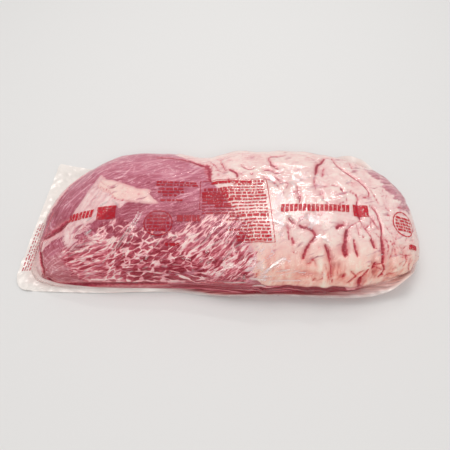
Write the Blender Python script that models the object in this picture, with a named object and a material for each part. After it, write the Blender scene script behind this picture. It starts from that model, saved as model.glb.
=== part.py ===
"""A whole raw beef flat iron, shrink-sealed in a clear bag, lying on its flat underside.

The bag clings to the meat, so the meat and the film round it are one closed solid:
a long rounded slab, thinner at the left, with a rolled edge of under-lean at the lower right.
The bag's two flat layers stand out all round as a thin fin, which widens at the left into
the flat tail where the bag is closed.

Metres, +Z up. +X runs along the cut from the lean, tail end to the fat end, -Y is the near side.
Run with: blender --background --python part.py
"""

import math

import bmesh
import bpy
import numpy as np

MM = 0.001

# The slab of meat in its film
SLAB_LENGTH = 378 * MM
SLAB_MIDDLE_X = 1.5 * MM
CROWN_HEIGHT = 53 * MM
LEAN_END_THINNING = 12 * MM  # how much lower the back is at the lean end
LEFT_POLE_Y = -14 * MM  # where the two ends come to their furthest point
RIGHT_POLE_Y = -12 * MM

# The slab's two long sides in plan, before its ends are rounded
FAR_SIDE_Y = 97 * MM
NEAR_SIDE_Y = -61.5 * MM
FAT_END_OVERHANG = 8.5 * MM  # the fat end's near side bulges past the lean end's

# The point under the middle of the whole bag, which becomes the part's origin
BAG_MIDDLE_X = -5.5 * MM
BAG_MIDDLE_Y = 13.0 * MM

# How square the ends are in plan and in profile: 2 is an ellipse, more is squarer
NEAR_LEFT_CORNER = 5.2
NEAR_RIGHT_CORNER = 3.1
FAR_LEFT_CORNER = 3.0
FAR_RIGHT_CORNER = 2.75
LEFT_PROFILE = 3.0
RIGHT_PROFILE = 4.0

# How square the slab is in section
NEAR_SHOULDER = 2.5
FAR_SHOULDER = 3.1
UNDERSIDE_EDGE = 4.5
UNDERSIDE_FLATNESS = 1.16  # above 1, the underside is cut flat where it rests

# Soft bulges of the two sides in plan, in mm: middle x, spread, how far it moves the side in +Y
NEAR_SIDE_BULGES = ((115, 45, -3.5),)
FAR_SIDE_BULGES = ((-112, 28, 6.0), (-20, 24, -8.0), (35, 20, -4.0))

# Slow rises and hollows of the back, in mm: middle x, spread, middle y, spread, rise
BACK_RISES = (
    (90, 60, 10, 60, 2.0),
    (-95, 40, 25, 40, 1.5),
    (-20, 22, 75, 35, -4.0),
    (-45, 30, -30, 30, -1.5),
)

# The crease where the bag's two layers meet, and the flat fin outside it
CREASE_LOW = 3.0 * MM
CREASE_HIGH = 11.0 * MM
CREASE_DEPTH = 2.6 * MM
FIN_THICKNESS = 1.2 * MM
FIN_SAG = 1.8 * MM  # how far the fin droops below the crease
FIN_FLOOR_GAP = 0.4 * MM

# The fin's two edges in plan, in mm, from the tail at the left to the tip at the right
FIN_NEAR_EDGE = (
    (-204, -46), (-198, -59), (-182, -63), (-120, -65), (-55, -64), (-15, -69),
    (10, -71.5), (50, -72), (110, -75), (150, -70), (178, -53), (192, -26),
)
FIN_FAR_EDGE = (
    (-191, 97), (-189.5, 100.5), (-184, 101), (-150, 95), (-95, 97), (-25, 92),
    (20, 95), (65, 99), (110, 99), (150, 88), (178, 56), (193, 10),
)

# Stations along the slab and the fin, and points round each section of the slab
STATIONS = 62
UPPER_POINTS = 22
LOWER_POINTS = 11
FIN_STATIONS = 56

FILM_COLOUR = (0.80, 0.55, 0.55, 1.0)
FILM_ROUGHNESS = 0.25
SHARP_ANGLE = math.radians(50)


def smooth_step(low, high, value):
    """0 below low, 1 above high, with a soft ramp between."""
    t = min(max((value - low) / (high - low), 0.0), 1.0)
    return t * t * (3 - 2 * t)


def hump(centre, spread, value):
    """A soft bump of height 1 at centre."""
    return math.exp(-(((value - centre) / spread) ** 2))


def through(points, t):
    """A smooth curve through the points, at t from 0 to 1."""
    count = len(points) - 1
    place = min(max(t, 0.0), 1.0) * count
    first = min(int(place), count - 1)
    u = place - first
    p = [np.array(points[min(max(first + k, 0), count)], float) for k in (-1, 0, 1, 2)]
    if first == 0:
        p[0] = 2 * p[1] - p[2]
    if first == count - 1:
        p[3] = 2 * p[2] - p[1]
    return 0.5 * (
        2 * p[1]
        + (p[2] - p[0]) * u
        + (2 * p[0] - 5 * p[1] + 4 * p[2] - p[3]) * u**2
        + (3 * p[1] - p[0] - 3 * p[2] + p[3]) * u**3
    )


def end_fullness(s, squareness):
    """How much of its full width the slab has at s, from -1 at the left end to 1 at the right."""
    return max(1 - abs(s) ** squareness, 0.0) ** (1 / squareness)


def bulged_side(straight_y, bulges, x):
    """A long side's place in plan at x, with its soft bulges."""
    moved = sum(rise * MM * hump(middle * MM, spread * MM, x) for middle, spread, rise in bulges)
    return straight_y + moved


def near_edge(x, s):
    """The slab's near side at x: the fat end bulges out over its rolled edge."""
    full = bulged_side(NEAR_SIDE_Y, NEAR_SIDE_BULGES, x)
    full -= FAT_END_OVERHANG * smooth_step(-50 * MM, 20 * MM, x)
    pole = LEFT_POLE_Y if s < 0 else RIGHT_POLE_Y
    corner = NEAR_LEFT_CORNER if s < 0 else NEAR_RIGHT_CORNER
    return pole + (full - pole) * end_fullness(s, corner)


def far_edge(x, s):
    """The slab's far side at x, pinched where the lean meets the fat."""
    full = bulged_side(FAR_SIDE_Y, FAR_SIDE_BULGES, x)
    pole = LEFT_POLE_Y if s < 0 else RIGHT_POLE_Y
    corner = FAR_LEFT_CORNER if s < 0 else FAR_RIGHT_CORNER
    return pole + (full - pole) * end_fullness(s, corner)


def crown(x, s):
    """The height of the slab's back at x: it thins towards the lean end and drops at the fat end."""
    thinning = LEAN_END_THINNING * smooth_step(-90 * MM, -200 * MM, x)
    return (CROWN_HEIGHT - thinning) * end_fullness(s, LEFT_PROFILE if s < 0 else RIGHT_PROFILE)


def crease_height(x):
    """The fin lies near the table at the lean end, and rises over the under-lean at the right."""
    return CREASE_LOW + (CREASE_HIGH - CREASE_LOW) * smooth_step(-50 * MM, 60 * MM, x)


def lie_of_the_back(x, y):
    """The slow rises and hollows of the back, in metres."""
    rise = 0.0
    for middle_x, spread_x, middle_y, spread_y, height in BACK_RISES:
        along = hump(middle_x * MM, spread_x * MM, x)
        rise += height * MM * along * hump(middle_y * MM, spread_y * MM, y)
    return rise


def section(x, s):
    """The closed outline of the slab at x: over the back from the near crease to the far one, then under."""
    near, far = near_edge(x, s), far_edge(x, s)
    middle, half = (near + far) / 2, (far - near) / 2
    fullness = min(1.0, half / (40 * MM))
    seam = crease_height(x) * (0.35 + 0.65 * fullness)
    top = max(crown(x, s), seam + 0.8 * MM)
    notch = CREASE_DEPTH * fullness * smooth_step(-40 * MM, 40 * MM, x)
    points = []
    for step in range(UPPER_POINTS):
        angle = math.pi * step / (UPPER_POINTS - 1)
        across, up = -math.cos(angle), math.sin(angle)
        shoulder = NEAR_SHOULDER if across < 0 else FAR_SHOULDER
        y = middle + half * math.copysign(abs(across) ** (2 / shoulder), across)
        if step in (0, UPPER_POINTS - 1):
            y -= math.copysign(notch, across)
        lift = up ** (2 / shoulder)
        z = seam + (top - seam + lie_of_the_back(x, y) * fullness) * lift
        points.append((x, y, z))
    for step in range(1, LOWER_POINTS + 1):
        angle = math.pi * step / (LOWER_POINTS + 1)
        across, down = math.cos(angle), math.sin(angle)
        y = middle + half * math.copysign(abs(across) ** (2 / UNDERSIDE_EDGE), across)
        drop = UNDERSIDE_FLATNESS * down ** (2 / UNDERSIDE_EDGE)
        points.append((x, y, max(seam * (1 - drop), 0.0)))
    return points


def closed_loft(name, rings, ends=None):
    """One closed mesh through rings of equal count. Each end closes on a point or with a flat face."""
    mesh = bmesh.new()
    loops = [[mesh.verts.new(p) for p in ring] for ring in rings]
    count = len(rings[0])
    for a, b in zip(loops, loops[1:]):
        for k in range(count):
            n = (k + 1) % count
            mesh.faces.new((a[k], b[k], b[n], a[n]))
    for loop, point in zip((loops[0], loops[-1]), ends or (None, None)):
        if point is None:
            mesh.faces.new(loop)
            continue
        tip = mesh.verts.new(point)
        for k in range(count):
            mesh.faces.new((loop[k], loop[(k + 1) % count], tip))
    bmesh.ops.recalc_face_normals(mesh, faces=mesh.faces)
    data = bpy.data.meshes.new(name)
    mesh.to_mesh(data)
    mesh.free()
    obj = bpy.data.objects.new(name, data)
    obj.location = (-BAG_MIDDLE_X, -BAG_MIDDLE_Y, 0)
    bpy.context.scene.collection.objects.link(obj)
    return obj


def make_slab():
    """The meat in its film, lofted through sections that crowd together towards both round ends."""
    rings = []
    for k in range(1, STATIONS):
        s = -math.cos(math.pi * k / STATIONS)
        rings.append(section(SLAB_MIDDLE_X + s * SLAB_LENGTH / 2, s))
    tips = []
    for side, pole_y in ((-1, LEFT_POLE_Y), (1, RIGHT_POLE_Y)):
        x = SLAB_MIDDLE_X + side * SLAB_LENGTH / 2
        tips.append((x, pole_y, crease_height(x) * 0.5))
    return closed_loft("sealed_bag", rings, tips)


def make_fin():
    """The bag's two layers laid flat together: the tail at the left, and a narrow fin round the rest."""
    rings = []
    for k in range(FIN_STATIONS + 1):
        t = k / FIN_STATIONS
        near, far = through(FIN_NEAR_EDGE, t) * MM, through(FIN_FAR_EDGE, t) * MM
        heights = [crease_height(p[0]) for p in (near, far)]
        near_low, far_low = (max(h - FIN_THICKNESS / 2 - FIN_SAG, FIN_FLOOR_GAP) for h in heights)
        ring = [(*near, near_low), (*near, near_low + FIN_THICKNESS)]
        ring += [(*far, far_low + FIN_THICKNESS), (*far, far_low)]
        rings.append(ring)
    return closed_loft("fin", rings)


def join_solids(whole, added):
    """A Boolean union, with the added solid kept as a hidden helper."""
    added.hide_render = True
    added.display_type = "WIRE"
    union = whole.modifiers.new("join_" + added.name, "BOOLEAN")
    union.operation = "UNION"
    union.solver = "EXACT"
    union.object = added


def film_material():
    """Clear glossy film over pink meat."""
    material = bpy.data.materials.new("clear_film")
    material.use_nodes = True
    shader = material.node_tree.nodes["Principled BSDF"]
    shader.inputs["Base Color"].default_value = FILM_COLOUR
    shader.inputs["Roughness"].default_value = FILM_ROUGHNESS
    shader.inputs["Metallic"].default_value = 0.0
    return material


def build():
    for obj in list(bpy.data.objects):
        bpy.data.objects.remove(obj, do_unlink=True)
    slab = make_slab()
    join_solids(slab, make_fin())
    slab.data.materials.append(film_material())
    slab.data.shade_smooth()
    slab.data.set_sharp_from_angle(angle=SHARP_ANGLE)


build()
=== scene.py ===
# %% [markdown]
# # A raw beef flat iron, shrink-sealed in its clear bag
#
# The real thing is one long muscle block: lean and marbled at the left, under a thick cap of fat
# at the right. A clear bag clings to it. The imported CAD model holds its true size as one plain
# solid, so the first step loads that solid. Every piece below is then built where it lies in
# that solid's frame, worked out in millimetres, and nothing is ever fitted afterwards.

# %% Load the imported solid, with its placement applied to its points
import math

import bpy
import numpy as np
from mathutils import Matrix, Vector
from mathutils.bvhtree import BVHTree
from mathutils.geometry import barycentric_transform


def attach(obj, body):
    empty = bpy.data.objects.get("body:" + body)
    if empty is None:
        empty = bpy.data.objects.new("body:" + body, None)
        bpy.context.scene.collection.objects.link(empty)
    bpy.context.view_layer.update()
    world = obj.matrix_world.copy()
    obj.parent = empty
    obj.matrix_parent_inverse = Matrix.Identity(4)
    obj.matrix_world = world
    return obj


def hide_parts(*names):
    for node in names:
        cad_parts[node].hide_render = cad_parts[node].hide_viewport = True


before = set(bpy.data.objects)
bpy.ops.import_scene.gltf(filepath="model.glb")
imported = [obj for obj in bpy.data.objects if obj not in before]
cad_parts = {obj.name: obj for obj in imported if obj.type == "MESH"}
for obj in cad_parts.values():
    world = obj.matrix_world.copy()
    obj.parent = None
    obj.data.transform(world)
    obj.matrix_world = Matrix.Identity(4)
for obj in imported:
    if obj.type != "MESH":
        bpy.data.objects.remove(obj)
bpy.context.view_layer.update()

MM = 0.001
BAG = "sealed_bag"

# %% [markdown]
# ## The camera
#
# The bag is seen from in front and well above. Elevation, distance and lens settle where every
# edge falls in the picture, so they come first. A camera looks along its own -Z, and
# `to_track_quat` turns it towards the point it aims at.

# %% Aim the camera
VIEW_ELEVATION = math.radians(54)
VIEW_DISTANCE = 500 * MM
VIEW_LENS = 40  # with the 36 mm sensor, a millimetre at that distance is a pixel of 450
VIEW_SENSOR = 36
AIM = Vector((5.5, -13, 22)) * MM

camera_data = bpy.data.cameras.new("view")
camera_data.lens = VIEW_LENS
camera_data.sensor_width = VIEW_SENSOR
camera = bpy.data.objects.new("view", camera_data)
to_camera = Vector((0, -math.cos(VIEW_ELEVATION), math.sin(VIEW_ELEVATION)))
camera.location = AIM + VIEW_DISTANCE * to_camera
camera.rotation_euler = (-to_camera).to_track_quat("-Z", "Y").to_euler()
bpy.context.scene.collection.objects.link(camera)
bpy.context.scene.camera = camera
print("Camera at", [round(c, 3) for c in camera.location])

# %% [markdown]
# ## Wiring shader nodes in short lines
#
# A material in Blender is a small diagram of nodes. Clicking one together suits a first try, but
# a few helpers let the diagrams below read like recipes. `tone` takes a colour as it is read off
# a screen, 0 to 255, and gives the linear value that a shader needs.


# %% Helpers for materials
def tone(red, green, blue):
    """A colour on a screen's 0-255 scale, as the linear value that a shader works in."""
    parts = [channel / 255 for channel in (red, green, blue)]
    return (*[p / 12.92 if p < 0.04045 else ((p + 0.055) / 1.055) ** 2.4 for p in parts], 1.0)


def node(tree, kind, inputs=(), output=0, **settings):
    """Adds a node, fills its inputs with numbers, colours or other outputs, and gives one output."""
    made = tree.nodes.new("ShaderNode" + kind)
    for name, value in settings.items():
        setattr(made, name, value)
    for key, value in dict(inputs).items():
        if isinstance(value, bpy.types.NodeSocket):
            tree.links.new(value, made.inputs[key])
        else:
            made.inputs[key].default_value = value
    return made.outputs[output]


def maths(tree, operation, first, second=0.0):
    """One sum on two values."""
    return node(tree, "Math", {0: first, 1: second}, operation=operation)


def step_up(tree, value, low, high):
    """0 below low, 1 above high, with a soft ramp between."""
    inputs = {"Value": value, "From Min": low, "From Max": high}
    return node(tree, "MapRange", inputs, interpolation_type="SMOOTHSTEP")


def blend(tree, amount, under, over, mode="MIX"):
    """Lays one colour over another by an amount from 0 to 1."""
    inputs = {0: amount, 6: under, 7: over}
    return node(tree, "Mix", inputs, output=2, data_type="RGBA", blend_type=mode)


def painted(tree, name, vector=False):
    """Reads a value that was stored at each point of the mesh."""
    return node(tree, "Attribute", output="Vector" if vector else "Fac", attribute_name=name)


def stretched(tree, where, length, width, turn=0.0):
    """Coordinates in which a blob of size 1 is length mm by width mm, turned by some degrees."""
    inputs = {"Vector": where, "Rotation": (0, 0, math.radians(turn)), "Scale": (length, width, length)}
    return node(tree, "Mapping", inputs, vector_type="TEXTURE")


def cloudy(tree, where, length, width, turn=0.0, detail=3.0, roughness=0.55):
    """Noise from about 0.25 to 0.75, in blobs of length mm by width mm, turned by some degrees."""
    place = stretched(tree, where, length, width, turn)
    inputs = {"Vector": place, "Scale": 1.0, "Detail": detail, "Roughness": roughness}
    return node(tree, "TexNoise", inputs)


def new_material(name):
    """An empty material, its node tree and its output."""
    material = bpy.data.materials.new(name)
    material.use_nodes = True
    material.node_tree.nodes.clear()
    return material, material.node_tree, material.node_tree.nodes.new("ShaderNodeOutputMaterial")


# %% [markdown]
# ## Floor and light
#
# A plain pale floor and three soft lamps stand for a studio. A broad lamp and a narrow strip hang
# over the far side, so that the film mirrors them towards the camera, and a third lights the
# front. A picture of a studio could light the scene too, but lamps are easier to move until each
# reflection sits right. A bright even world fills the shadows, and the Standard view transform
# keeps the colours as they are painted.

# %% Sizes and places of the lamps, in metres
WORLD_STRENGTH = 0.55
KEY_POWER = 4.6
KEY_SIZE = (0.9, 0.5)
KEY_PLACE = Vector((-0.10, 0.42, 1.15))
STRIP_POWER = 1.2
STRIP_SIZE = (0.45, 0.04)
STRIP_PLACE = Vector((0.25, 0.80, 0.90))
FRONT_POWER = 3.0
FRONT_SIZE = (1.0, 0.25)
FRONT_PLACE = Vector((0.1, -0.95, 1.0))


def soft_lamp(name, power, size, place):
    """A rectangular area lamp that faces the middle of the bag."""
    lamp = bpy.data.lights.new(name, "AREA")
    lamp.shape = "RECTANGLE"
    lamp.size, lamp.size_y = size
    lamp.energy = power
    holder = bpy.data.objects.new(name, lamp)
    holder.location = place
    holder.rotation_euler = (AIM - place).to_track_quat("-Z", "Y").to_euler()
    bpy.context.scene.collection.objects.link(holder)


# %% Hang the lamps and light the world
soft_lamp("key_lamp", KEY_POWER, KEY_SIZE, KEY_PLACE)
soft_lamp("strip_lamp", STRIP_POWER, STRIP_SIZE, STRIP_PLACE)
soft_lamp("front_lamp", FRONT_POWER, FRONT_SIZE, FRONT_PLACE)
world = bpy.data.worlds.new("studio")
world.use_nodes = True
background = world.node_tree.nodes["Background"]
background.inputs["Color"].default_value = (1.0, 1.0, 1.0, 1.0)
background.inputs["Strength"].default_value = WORLD_STRENGTH
bpy.context.scene.world = world
bpy.context.scene.view_settings.view_transform = "Standard"
print("Three lamps hung, world at", WORLD_STRENGTH)

# %% Lay the floor
FLOOR_SIZE = 6.0
FLOOR_COLOUR = tone(232, 230, 228)
FLOOR_ROUGHNESS = 0.7


def new_piece(name, mesh):
    """An object that shows a finished mesh, linked into the scene."""
    piece = bpy.data.objects.new(name, mesh)
    bpy.context.scene.collection.objects.link(piece)
    return piece


half = FLOOR_SIZE / 2
floor_corners = [(-half, -half, 0), (half, -half, 0), (half, half, 0), (-half, half, 0)]
floor_mesh = bpy.data.meshes.new("floor")
floor_mesh.from_pydata(floor_corners, [], [(0, 1, 2, 3)])
floor = new_piece("floor", floor_mesh)
floor_paint, tree, output = new_material("pale_floor")
surface = node(tree, "BsdfPrincipled", {"Base Color": FLOOR_COLOUR, "Roughness": FLOOR_ROUGHNESS})
tree.links.new(surface, output.inputs["Surface"])
floor_mesh.materials.append(floor_paint)
print("Floor", FLOOR_SIZE, "m wide")

# %% [markdown]
# ## The slab, as one smooth formula
#
# A squeezed muscle in tight film is a rounded slab: nearly flat below, crowned above, square at
# the fat end and thin at the lean end. It could be sculpted, or the CAD solid could be
# subdivided. A formula for its cross-sections is smoother than either, gives points as fine as
# the marbling needs, and stays on the CAD surface. A superellipse, |x|^n + |y|^n = 1, turns from
# an ellipse at n = 2 into a box as n grows, which is how its corners are set.

# %% The slab's driving sizes, in mm
SLAB_LENGTH = 378
SLAB_MIDDLE_X = 1.5
CROWN_HEIGHT = 53
LEAN_END_THINNING = 12
POLE_Y = {"left": -14, "right": -12}
FAR_SIDE_Y = 97
NEAR_SIDE_Y = -61.5
FAT_END_OVERHANG = 8.5
BAG_MIDDLE_X = -5.5  # the point under the bag's middle is the origin of the frame
BAG_MIDDLE_Y = 13.0

# Powers of the superellipses: the higher, the squarer.
NEAR_CORNER = {"left": 5.2, "right": 3.1}
FAR_CORNER = {"left": 3.0, "right": 2.75}
PROFILE = {"left": 3.0, "right": 4.0}
NEAR_SHOULDER = 2.5
FAR_SHOULDER = 3.1
UNDERSIDE_EDGE = 4.5
UNDERSIDE_FLATNESS = 1.16

NEAR_SIDE_BULGES = ((115, 45, -3.5),)
FAR_SIDE_BULGES = ((-112, 28, 6.0), (-20, 24, -8.0), (35, 20, -4.0))
BACK_RISES = (
    (90, 60, 10, 60, 2.0),
    (-95, 40, 25, 40, 1.5),
    (-20, 22, 75, 35, -4.0),
    (-45, 30, -30, 30, -1.5),
)
CREASE_LOW = 3.0
CREASE_HIGH = 11.0
CREASE_DEPTH = 2.6
CREASE_ANGLE = 0.12  # in radians round the section
CREASE_ROUNDING = 1.5

# Where along x a change begins and where it is complete.
THINNING = (-90, -200)
OVERHANG = (-50, 20)
CREASE_CLIMB = (-50, 60)
CREASE_DEEPENS = (-40, 40)

FULL_HALF_WIDTH = 40  # nearer the tips the slab is narrower than this and flattens with its width
TIP_CREASE = 0.35
LEAST_THICKNESS = 0.8
print("The slab is", SLAB_LENGTH, "mm long and", CROWN_HEIGHT, "mm high at its crown")


# %% Soft steps and humps
def smooth_step(low, high, value):
    """0 below low, 1 above high, with a soft ramp between."""
    t = np.clip((value - low) / (high - low), 0, 1)
    return t * t * (3 - 2 * t)


def hump(centre, spread, value):
    """A soft bump of height 1 at centre."""
    return np.exp(-(((value - centre) / spread) ** 2))


def hills(places, x, y):
    """The sum of soft hills. Each has its middle and spread along x, the same along y, and a height."""
    return sum(height * hump(a, b, x) * hump(c, d, y) for a, b, c, d, height in places)


# %% Functions that shape the slab
def by_end(s, sizes, power=False):
    """Picks the left or right end's value at s, or with power how full the slab is there."""
    value = np.where(s < 0, sizes["left"], sizes["right"])
    return np.clip(1 - np.abs(s) ** value, 0, None) ** (1 / value) if power else value


def side_line(straight, bulges, x):
    """A long side in plan: a straight line with soft bulges."""
    return straight + sum(rise * hump(middle, spread, x) for middle, spread, rise in bulges)


def crease_height(x):
    """The fin lies near the table at the lean end and rises over the under-lean at the right."""
    return CREASE_LOW + (CREASE_HIGH - CREASE_LOW) * smooth_step(*CREASE_CLIMB, x)


def crown_height(x):
    """The height of the back, which sinks towards the lean end."""
    return CROWN_HEIGHT - LEAN_END_THINNING * smooth_step(*THINNING, x)


def long_sides(s):
    """The slab's near and far side at s, which runs from -1 at the left end to 1 at the right."""
    x = SLAB_MIDDLE_X + s * SLAB_LENGTH / 2
    pole = by_end(s, POLE_Y)
    near = side_line(NEAR_SIDE_Y, NEAR_SIDE_BULGES, x) - FAT_END_OVERHANG * smooth_step(*OVERHANG, x)
    near = pole + (near - pole) * by_end(s, NEAR_CORNER, power=True)
    far = side_line(FAR_SIDE_Y, FAR_SIDE_BULGES, x)
    far = pole + (far - pole) * by_end(s, FAR_CORNER, power=True)
    return x, near, far


def slab_surface(s, angle):
    """Points of the slab, in mm in the frame. Angle goes from the near crease over the back to the
    far crease at pi, then under to 2 pi."""
    x, near, far = long_sides(s)
    middle, half = (near + far) / 2, (far - near) / 2
    fullness = np.minimum(1, half / FULL_HALF_WIDTH)
    seam = crease_height(x) * (TIP_CREASE + (1 - TIP_CREASE) * fullness)
    top = np.maximum(crown_height(x) * by_end(s, PROFILE, power=True), seam + LEAST_THICKNESS)
    across, up = -np.cos(angle), np.sin(angle)

    shoulder = np.where(across < 0, NEAR_SHOULDER, FAR_SHOULDER)
    upper_y = middle + half * np.sign(across) * np.abs(across) ** (2 / shoulder)
    from_crease = np.minimum(angle, np.abs(angle - np.pi)) / CREASE_ANGLE
    at_crease = np.clip(1 - from_crease, 0, 1) ** CREASE_ROUNDING
    pinch = CREASE_DEPTH * fullness * smooth_step(*CREASE_DEEPENS, x) * at_crease
    upper_y = upper_y - np.sign(across) * pinch
    rise = hills(BACK_RISES, x, upper_y) * fullness
    upper_z = seam + (top - seam + rise) * np.clip(up, 0, 1) ** (2 / shoulder)

    down = np.clip(-up, 0, 1) ** (2 / UNDERSIDE_EDGE)
    lower_y = middle + half * np.sign(across) * np.abs(across) ** (2 / UNDERSIDE_EDGE)
    lower_z = np.maximum(seam * (1 - UNDERSIDE_FLATNESS * down), 0)
    upper = angle <= np.pi + 1e-9
    y, z = np.where(upper, upper_y, lower_y), np.where(upper, upper_z, lower_z)
    return np.stack([x + 0 * y - BAG_MIDDLE_X, y - BAG_MIDDLE_Y, z], axis=-1)


# %% Sample the slab finely
STATIONS = 424
UPPER_POINTS = 194
LOWER_POINTS = 38

stations = np.sin(np.pi / 2 * np.linspace(-1, 1, STATIONS + 2)[1:-1])[:, None]
over_back = np.linspace(0, np.pi, UPPER_POINTS)
underneath = np.linspace(np.pi, 2 * np.pi, LOWER_POINTS + 2)[1:-1]
angles = np.concatenate([over_back, underneath])[None, :]
slab = slab_surface(stations, angles)
print("Slab sampled at", slab.shape[0], "x", slab.shape[1], "points")
print("It is up to", round(slab[..., 2].max(), 1), "mm high")

# %% [markdown]
# ## Skin coordinates
#
# Marbling, grooves and print all lie on the skin, so they need a flat map of it. A UV unwrap
# would do, but its scale changes from place to place. Here each point's place in plan is pushed
# outwards along its normal by its depth below the crown, which unrolls the steep sides to their
# true size. The result, u and v in mm, is where every feature below is placed.

# %% Unroll the skin
UNDERSIDE_START = (0.0, 0.25)  # in radians past the far crease


def outward_normals(points):
    """Unit normals of the grid of points, which is closed the second way round."""
    along = np.gradient(points, axis=0)
    around = np.roll(points, -1, axis=1) - np.roll(points, 1, axis=1)
    normal = np.cross(along, around)
    normal /= np.linalg.norm(normal, axis=-1, keepdims=True) + 1e-12
    return normal * np.sign(normal[:, UPPER_POINTS // 2, 2].mean())


normals = outward_normals(slab)
slab_x = slab[..., 0] + BAG_MIDDLE_X
depth = np.maximum(crown_height(slab_x) - slab[..., 2], 0)
u = slab[..., 0] + normals[..., 0] * depth
v = slab[..., 1] + normals[..., 1] * depth
below = smooth_step(*UNDERSIDE_START, np.broadcast_to(angles - np.pi, u.shape))
print("Skin runs u", round(u.min()), "to", round(u.max()), "and v", round(v.min()), "to", round(v.max()))

# %% [markdown]
# ## Drawing on the skin
#
# Grooves are curves and patches of fat are outlines, each with only the points that its shape
# needs. For every skin point the distance to the curve is worked out in mm. Distances make soft
# grooves by a bell curve, and crisp ragged edges once a shader adds noise and cuts them off.

# %% Curves and the distance to them
CURVE_STEPS = 6


def smooth_curve(points, closed=False):
    """Catmull-Rom points through a few given ones."""
    p = np.array(points, float)
    ends = (p[-1], p[0], p[1]) if closed else (2 * p[0] - p[1], 2 * p[-1] - p[-2], None)
    p = np.vstack([ends[0], p, ends[1]] + ([ends[2]] if closed else []))
    rows = []
    for a, b, c, d in zip(p, p[1:], p[2:], p[3:]):
        for t in np.arange(CURVE_STEPS) / CURVE_STEPS:
            bend = (c - a) * t + (2 * a - 5 * b + 4 * c - d) * t**2 + (3 * b - a - 3 * c + d) * t**3
            rows.append(b + bend / 2)
    rows.append(p[-2])
    return np.array(rows)


def distance_to(curve, reach):
    """Each skin point's distance to a curve up to reach, and its place along it from 0 to 1."""
    low, high = curve.min(0) - reach, curve.max(0) + reach
    near = (u > low[0]) & (u < high[0]) & (v > low[1]) & (v < high[1]) & (below < 0.5)
    here = np.stack([u[near], v[near]], axis=-1)
    best, place = np.full(len(here), float(reach)), np.zeros(len(here))
    for k, (a, b) in enumerate(zip(curve, curve[1:])):
        step = b - a
        t = np.clip((here - a) @ step / (step @ step + 1e-9), 0, 1)
        gap = np.hypot(*(here - a - t[:, None] * step).T)
        closer = gap < best
        best = np.where(closer, gap, best)
        place = np.where(closer, (k + t) / (len(curve) - 1), place)
    distance, along = np.full(u.shape, float(reach)), np.zeros(u.shape)
    distance[near], along[near] = best, place
    return distance, along


# %% Outlines, soft noise and lines
OUTLINE_REACH = 12.0
NOISE_CELLS = 64
THIN_END = 0.45  # a line's width at its ends, as a share of its full width


def inside_by(outline):
    """How far inside an outline each skin point is, in mm, and negative outside it."""
    curve = smooth_curve(outline, closed=True)
    distance, _ = distance_to(curve, OUTLINE_REACH)
    inside = np.zeros(u.shape, bool)
    for (x1, y1), (x2, y2) in zip(curve, curve[1:]):
        if y1 != y2:
            crosses = (v > min(y1, y2)) & (v <= max(y1, y2))
            inside ^= crosses & (u < x1 + (v - y1) * (x2 - x1) / (y2 - y1))
    return np.where(inside & (below < 0.5), distance, -distance)


def lumps(a, b, size, seed):
    """Soft random hills about size mm across, from -1 to 1, the same on every run."""
    grid = np.random.default_rng(seed).uniform(-1, 1, (NOISE_CELLS, NOISE_CELLS))
    a, b = a / size + NOISE_CELLS / 2, b / size + NOISE_CELLS / 2
    i, j = np.floor(a).astype(int), np.floor(b).astype(int)
    p, q = smooth_step(0, 1, a - i), smooth_step(0, 1, b - j)
    corner = [[grid[(i + m) % NOISE_CELLS, (j + n) % NOISE_CELLS] for n in (0, 1)] for m in (0, 1)]
    low = corner[0][0] * (1 - p) + corner[1][0] * p
    high = corner[0][1] * (1 - p) + corner[1][1] * p
    return low * (1 - q) + high * q


def lines(curves, spread=1.0):
    """Soft lines from 0 to 1 on the skin. Each curve is a width in mm, a strength and its points."""
    total = np.zeros(u.shape)
    for width, strength, points in curves:
        distance, along = distance_to(smooth_curve(points), 5 * width * spread + 1)
        taper = THIN_END + (1 - THIN_END) * np.sin(np.pi * np.clip(along, 0, 1)) ** 0.5
        total = np.maximum(total, strength * np.exp(-((distance / (width * spread * taper)) ** 2)))
    return total


# %% [markdown]
# ## The fat
#
# The cap covers the right half. At the left, a torn patch and a wedge of fat lie on the lean,
# and a pale rim runs round the end. All are outlines on the skin. The patches stand a little
# proud of the lean, because the knife left them there, and a flap of the torn one lies over the
# rest. At the far right shoulder the cap thins out, and streaky lean shows through it.

# %% Outlines of the fat, in skin mm
FAT_CAP = (
    (-48, 125), (-47, 95), (-45, 74), (-37, 63), (-26, 57), (-19, 51), (-12, 47),
    (-10, 36), (-8, 20), (0, 8), (7, -6), (16, -20), (25, -35), (28, -52), (34, -66), (33, -78),
    (30, -88), (32, -100), (38, -112), (42, -135), (140, -150), (260, -130), (260, 130), (90, 140),
)
TORN_PATCH = (
    (-124, 37), (-116, 28), (-109, 25), (-99, 20), (-88, 14), (-78, 9.5), (-70, 9), (-66, 6.5),
    (-68, 4), (-64, -2), (-58, -8), (-63, -9.5), (-71, -9), (-81, -8), (-89, -6.5), (-92, -9),
    (-96, -13), (-100, -9), (-107, -13), (-115, -20), (-120, -25), (-127, -27), (-131, -32),
    (-137, -39), (-139, -47), (-143, -51), (-150, -50), (-154, -43), (-157, -30), (-157, -23),
    (-152, -17), (-148, -10), (-146, -5), (-141, 3), (-137, 12), (-133, 21), (-128, 29),
)
PATCH_FLAP = (
    (-118, 29), (-109, 25), (-99, 20), (-88, 14), (-78, 9.5), (-70, 9), (-66, 3), (-58, -8),
    (-71, -9), (-83, -7), (-91, -4), (-101, -1), (-104, 2), (-108, 7), (-117, 12), (-124, 21),
)
WEDGE = (
    (-194, -32), (-181, -28.5), (-173, -28), (-159, -28), (-152, -24), (-156, -31), (-160, -35),
    (-168, -37.5), (-176, -41), (-183, -48), (-188, -47), (-191, -40),
)
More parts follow.
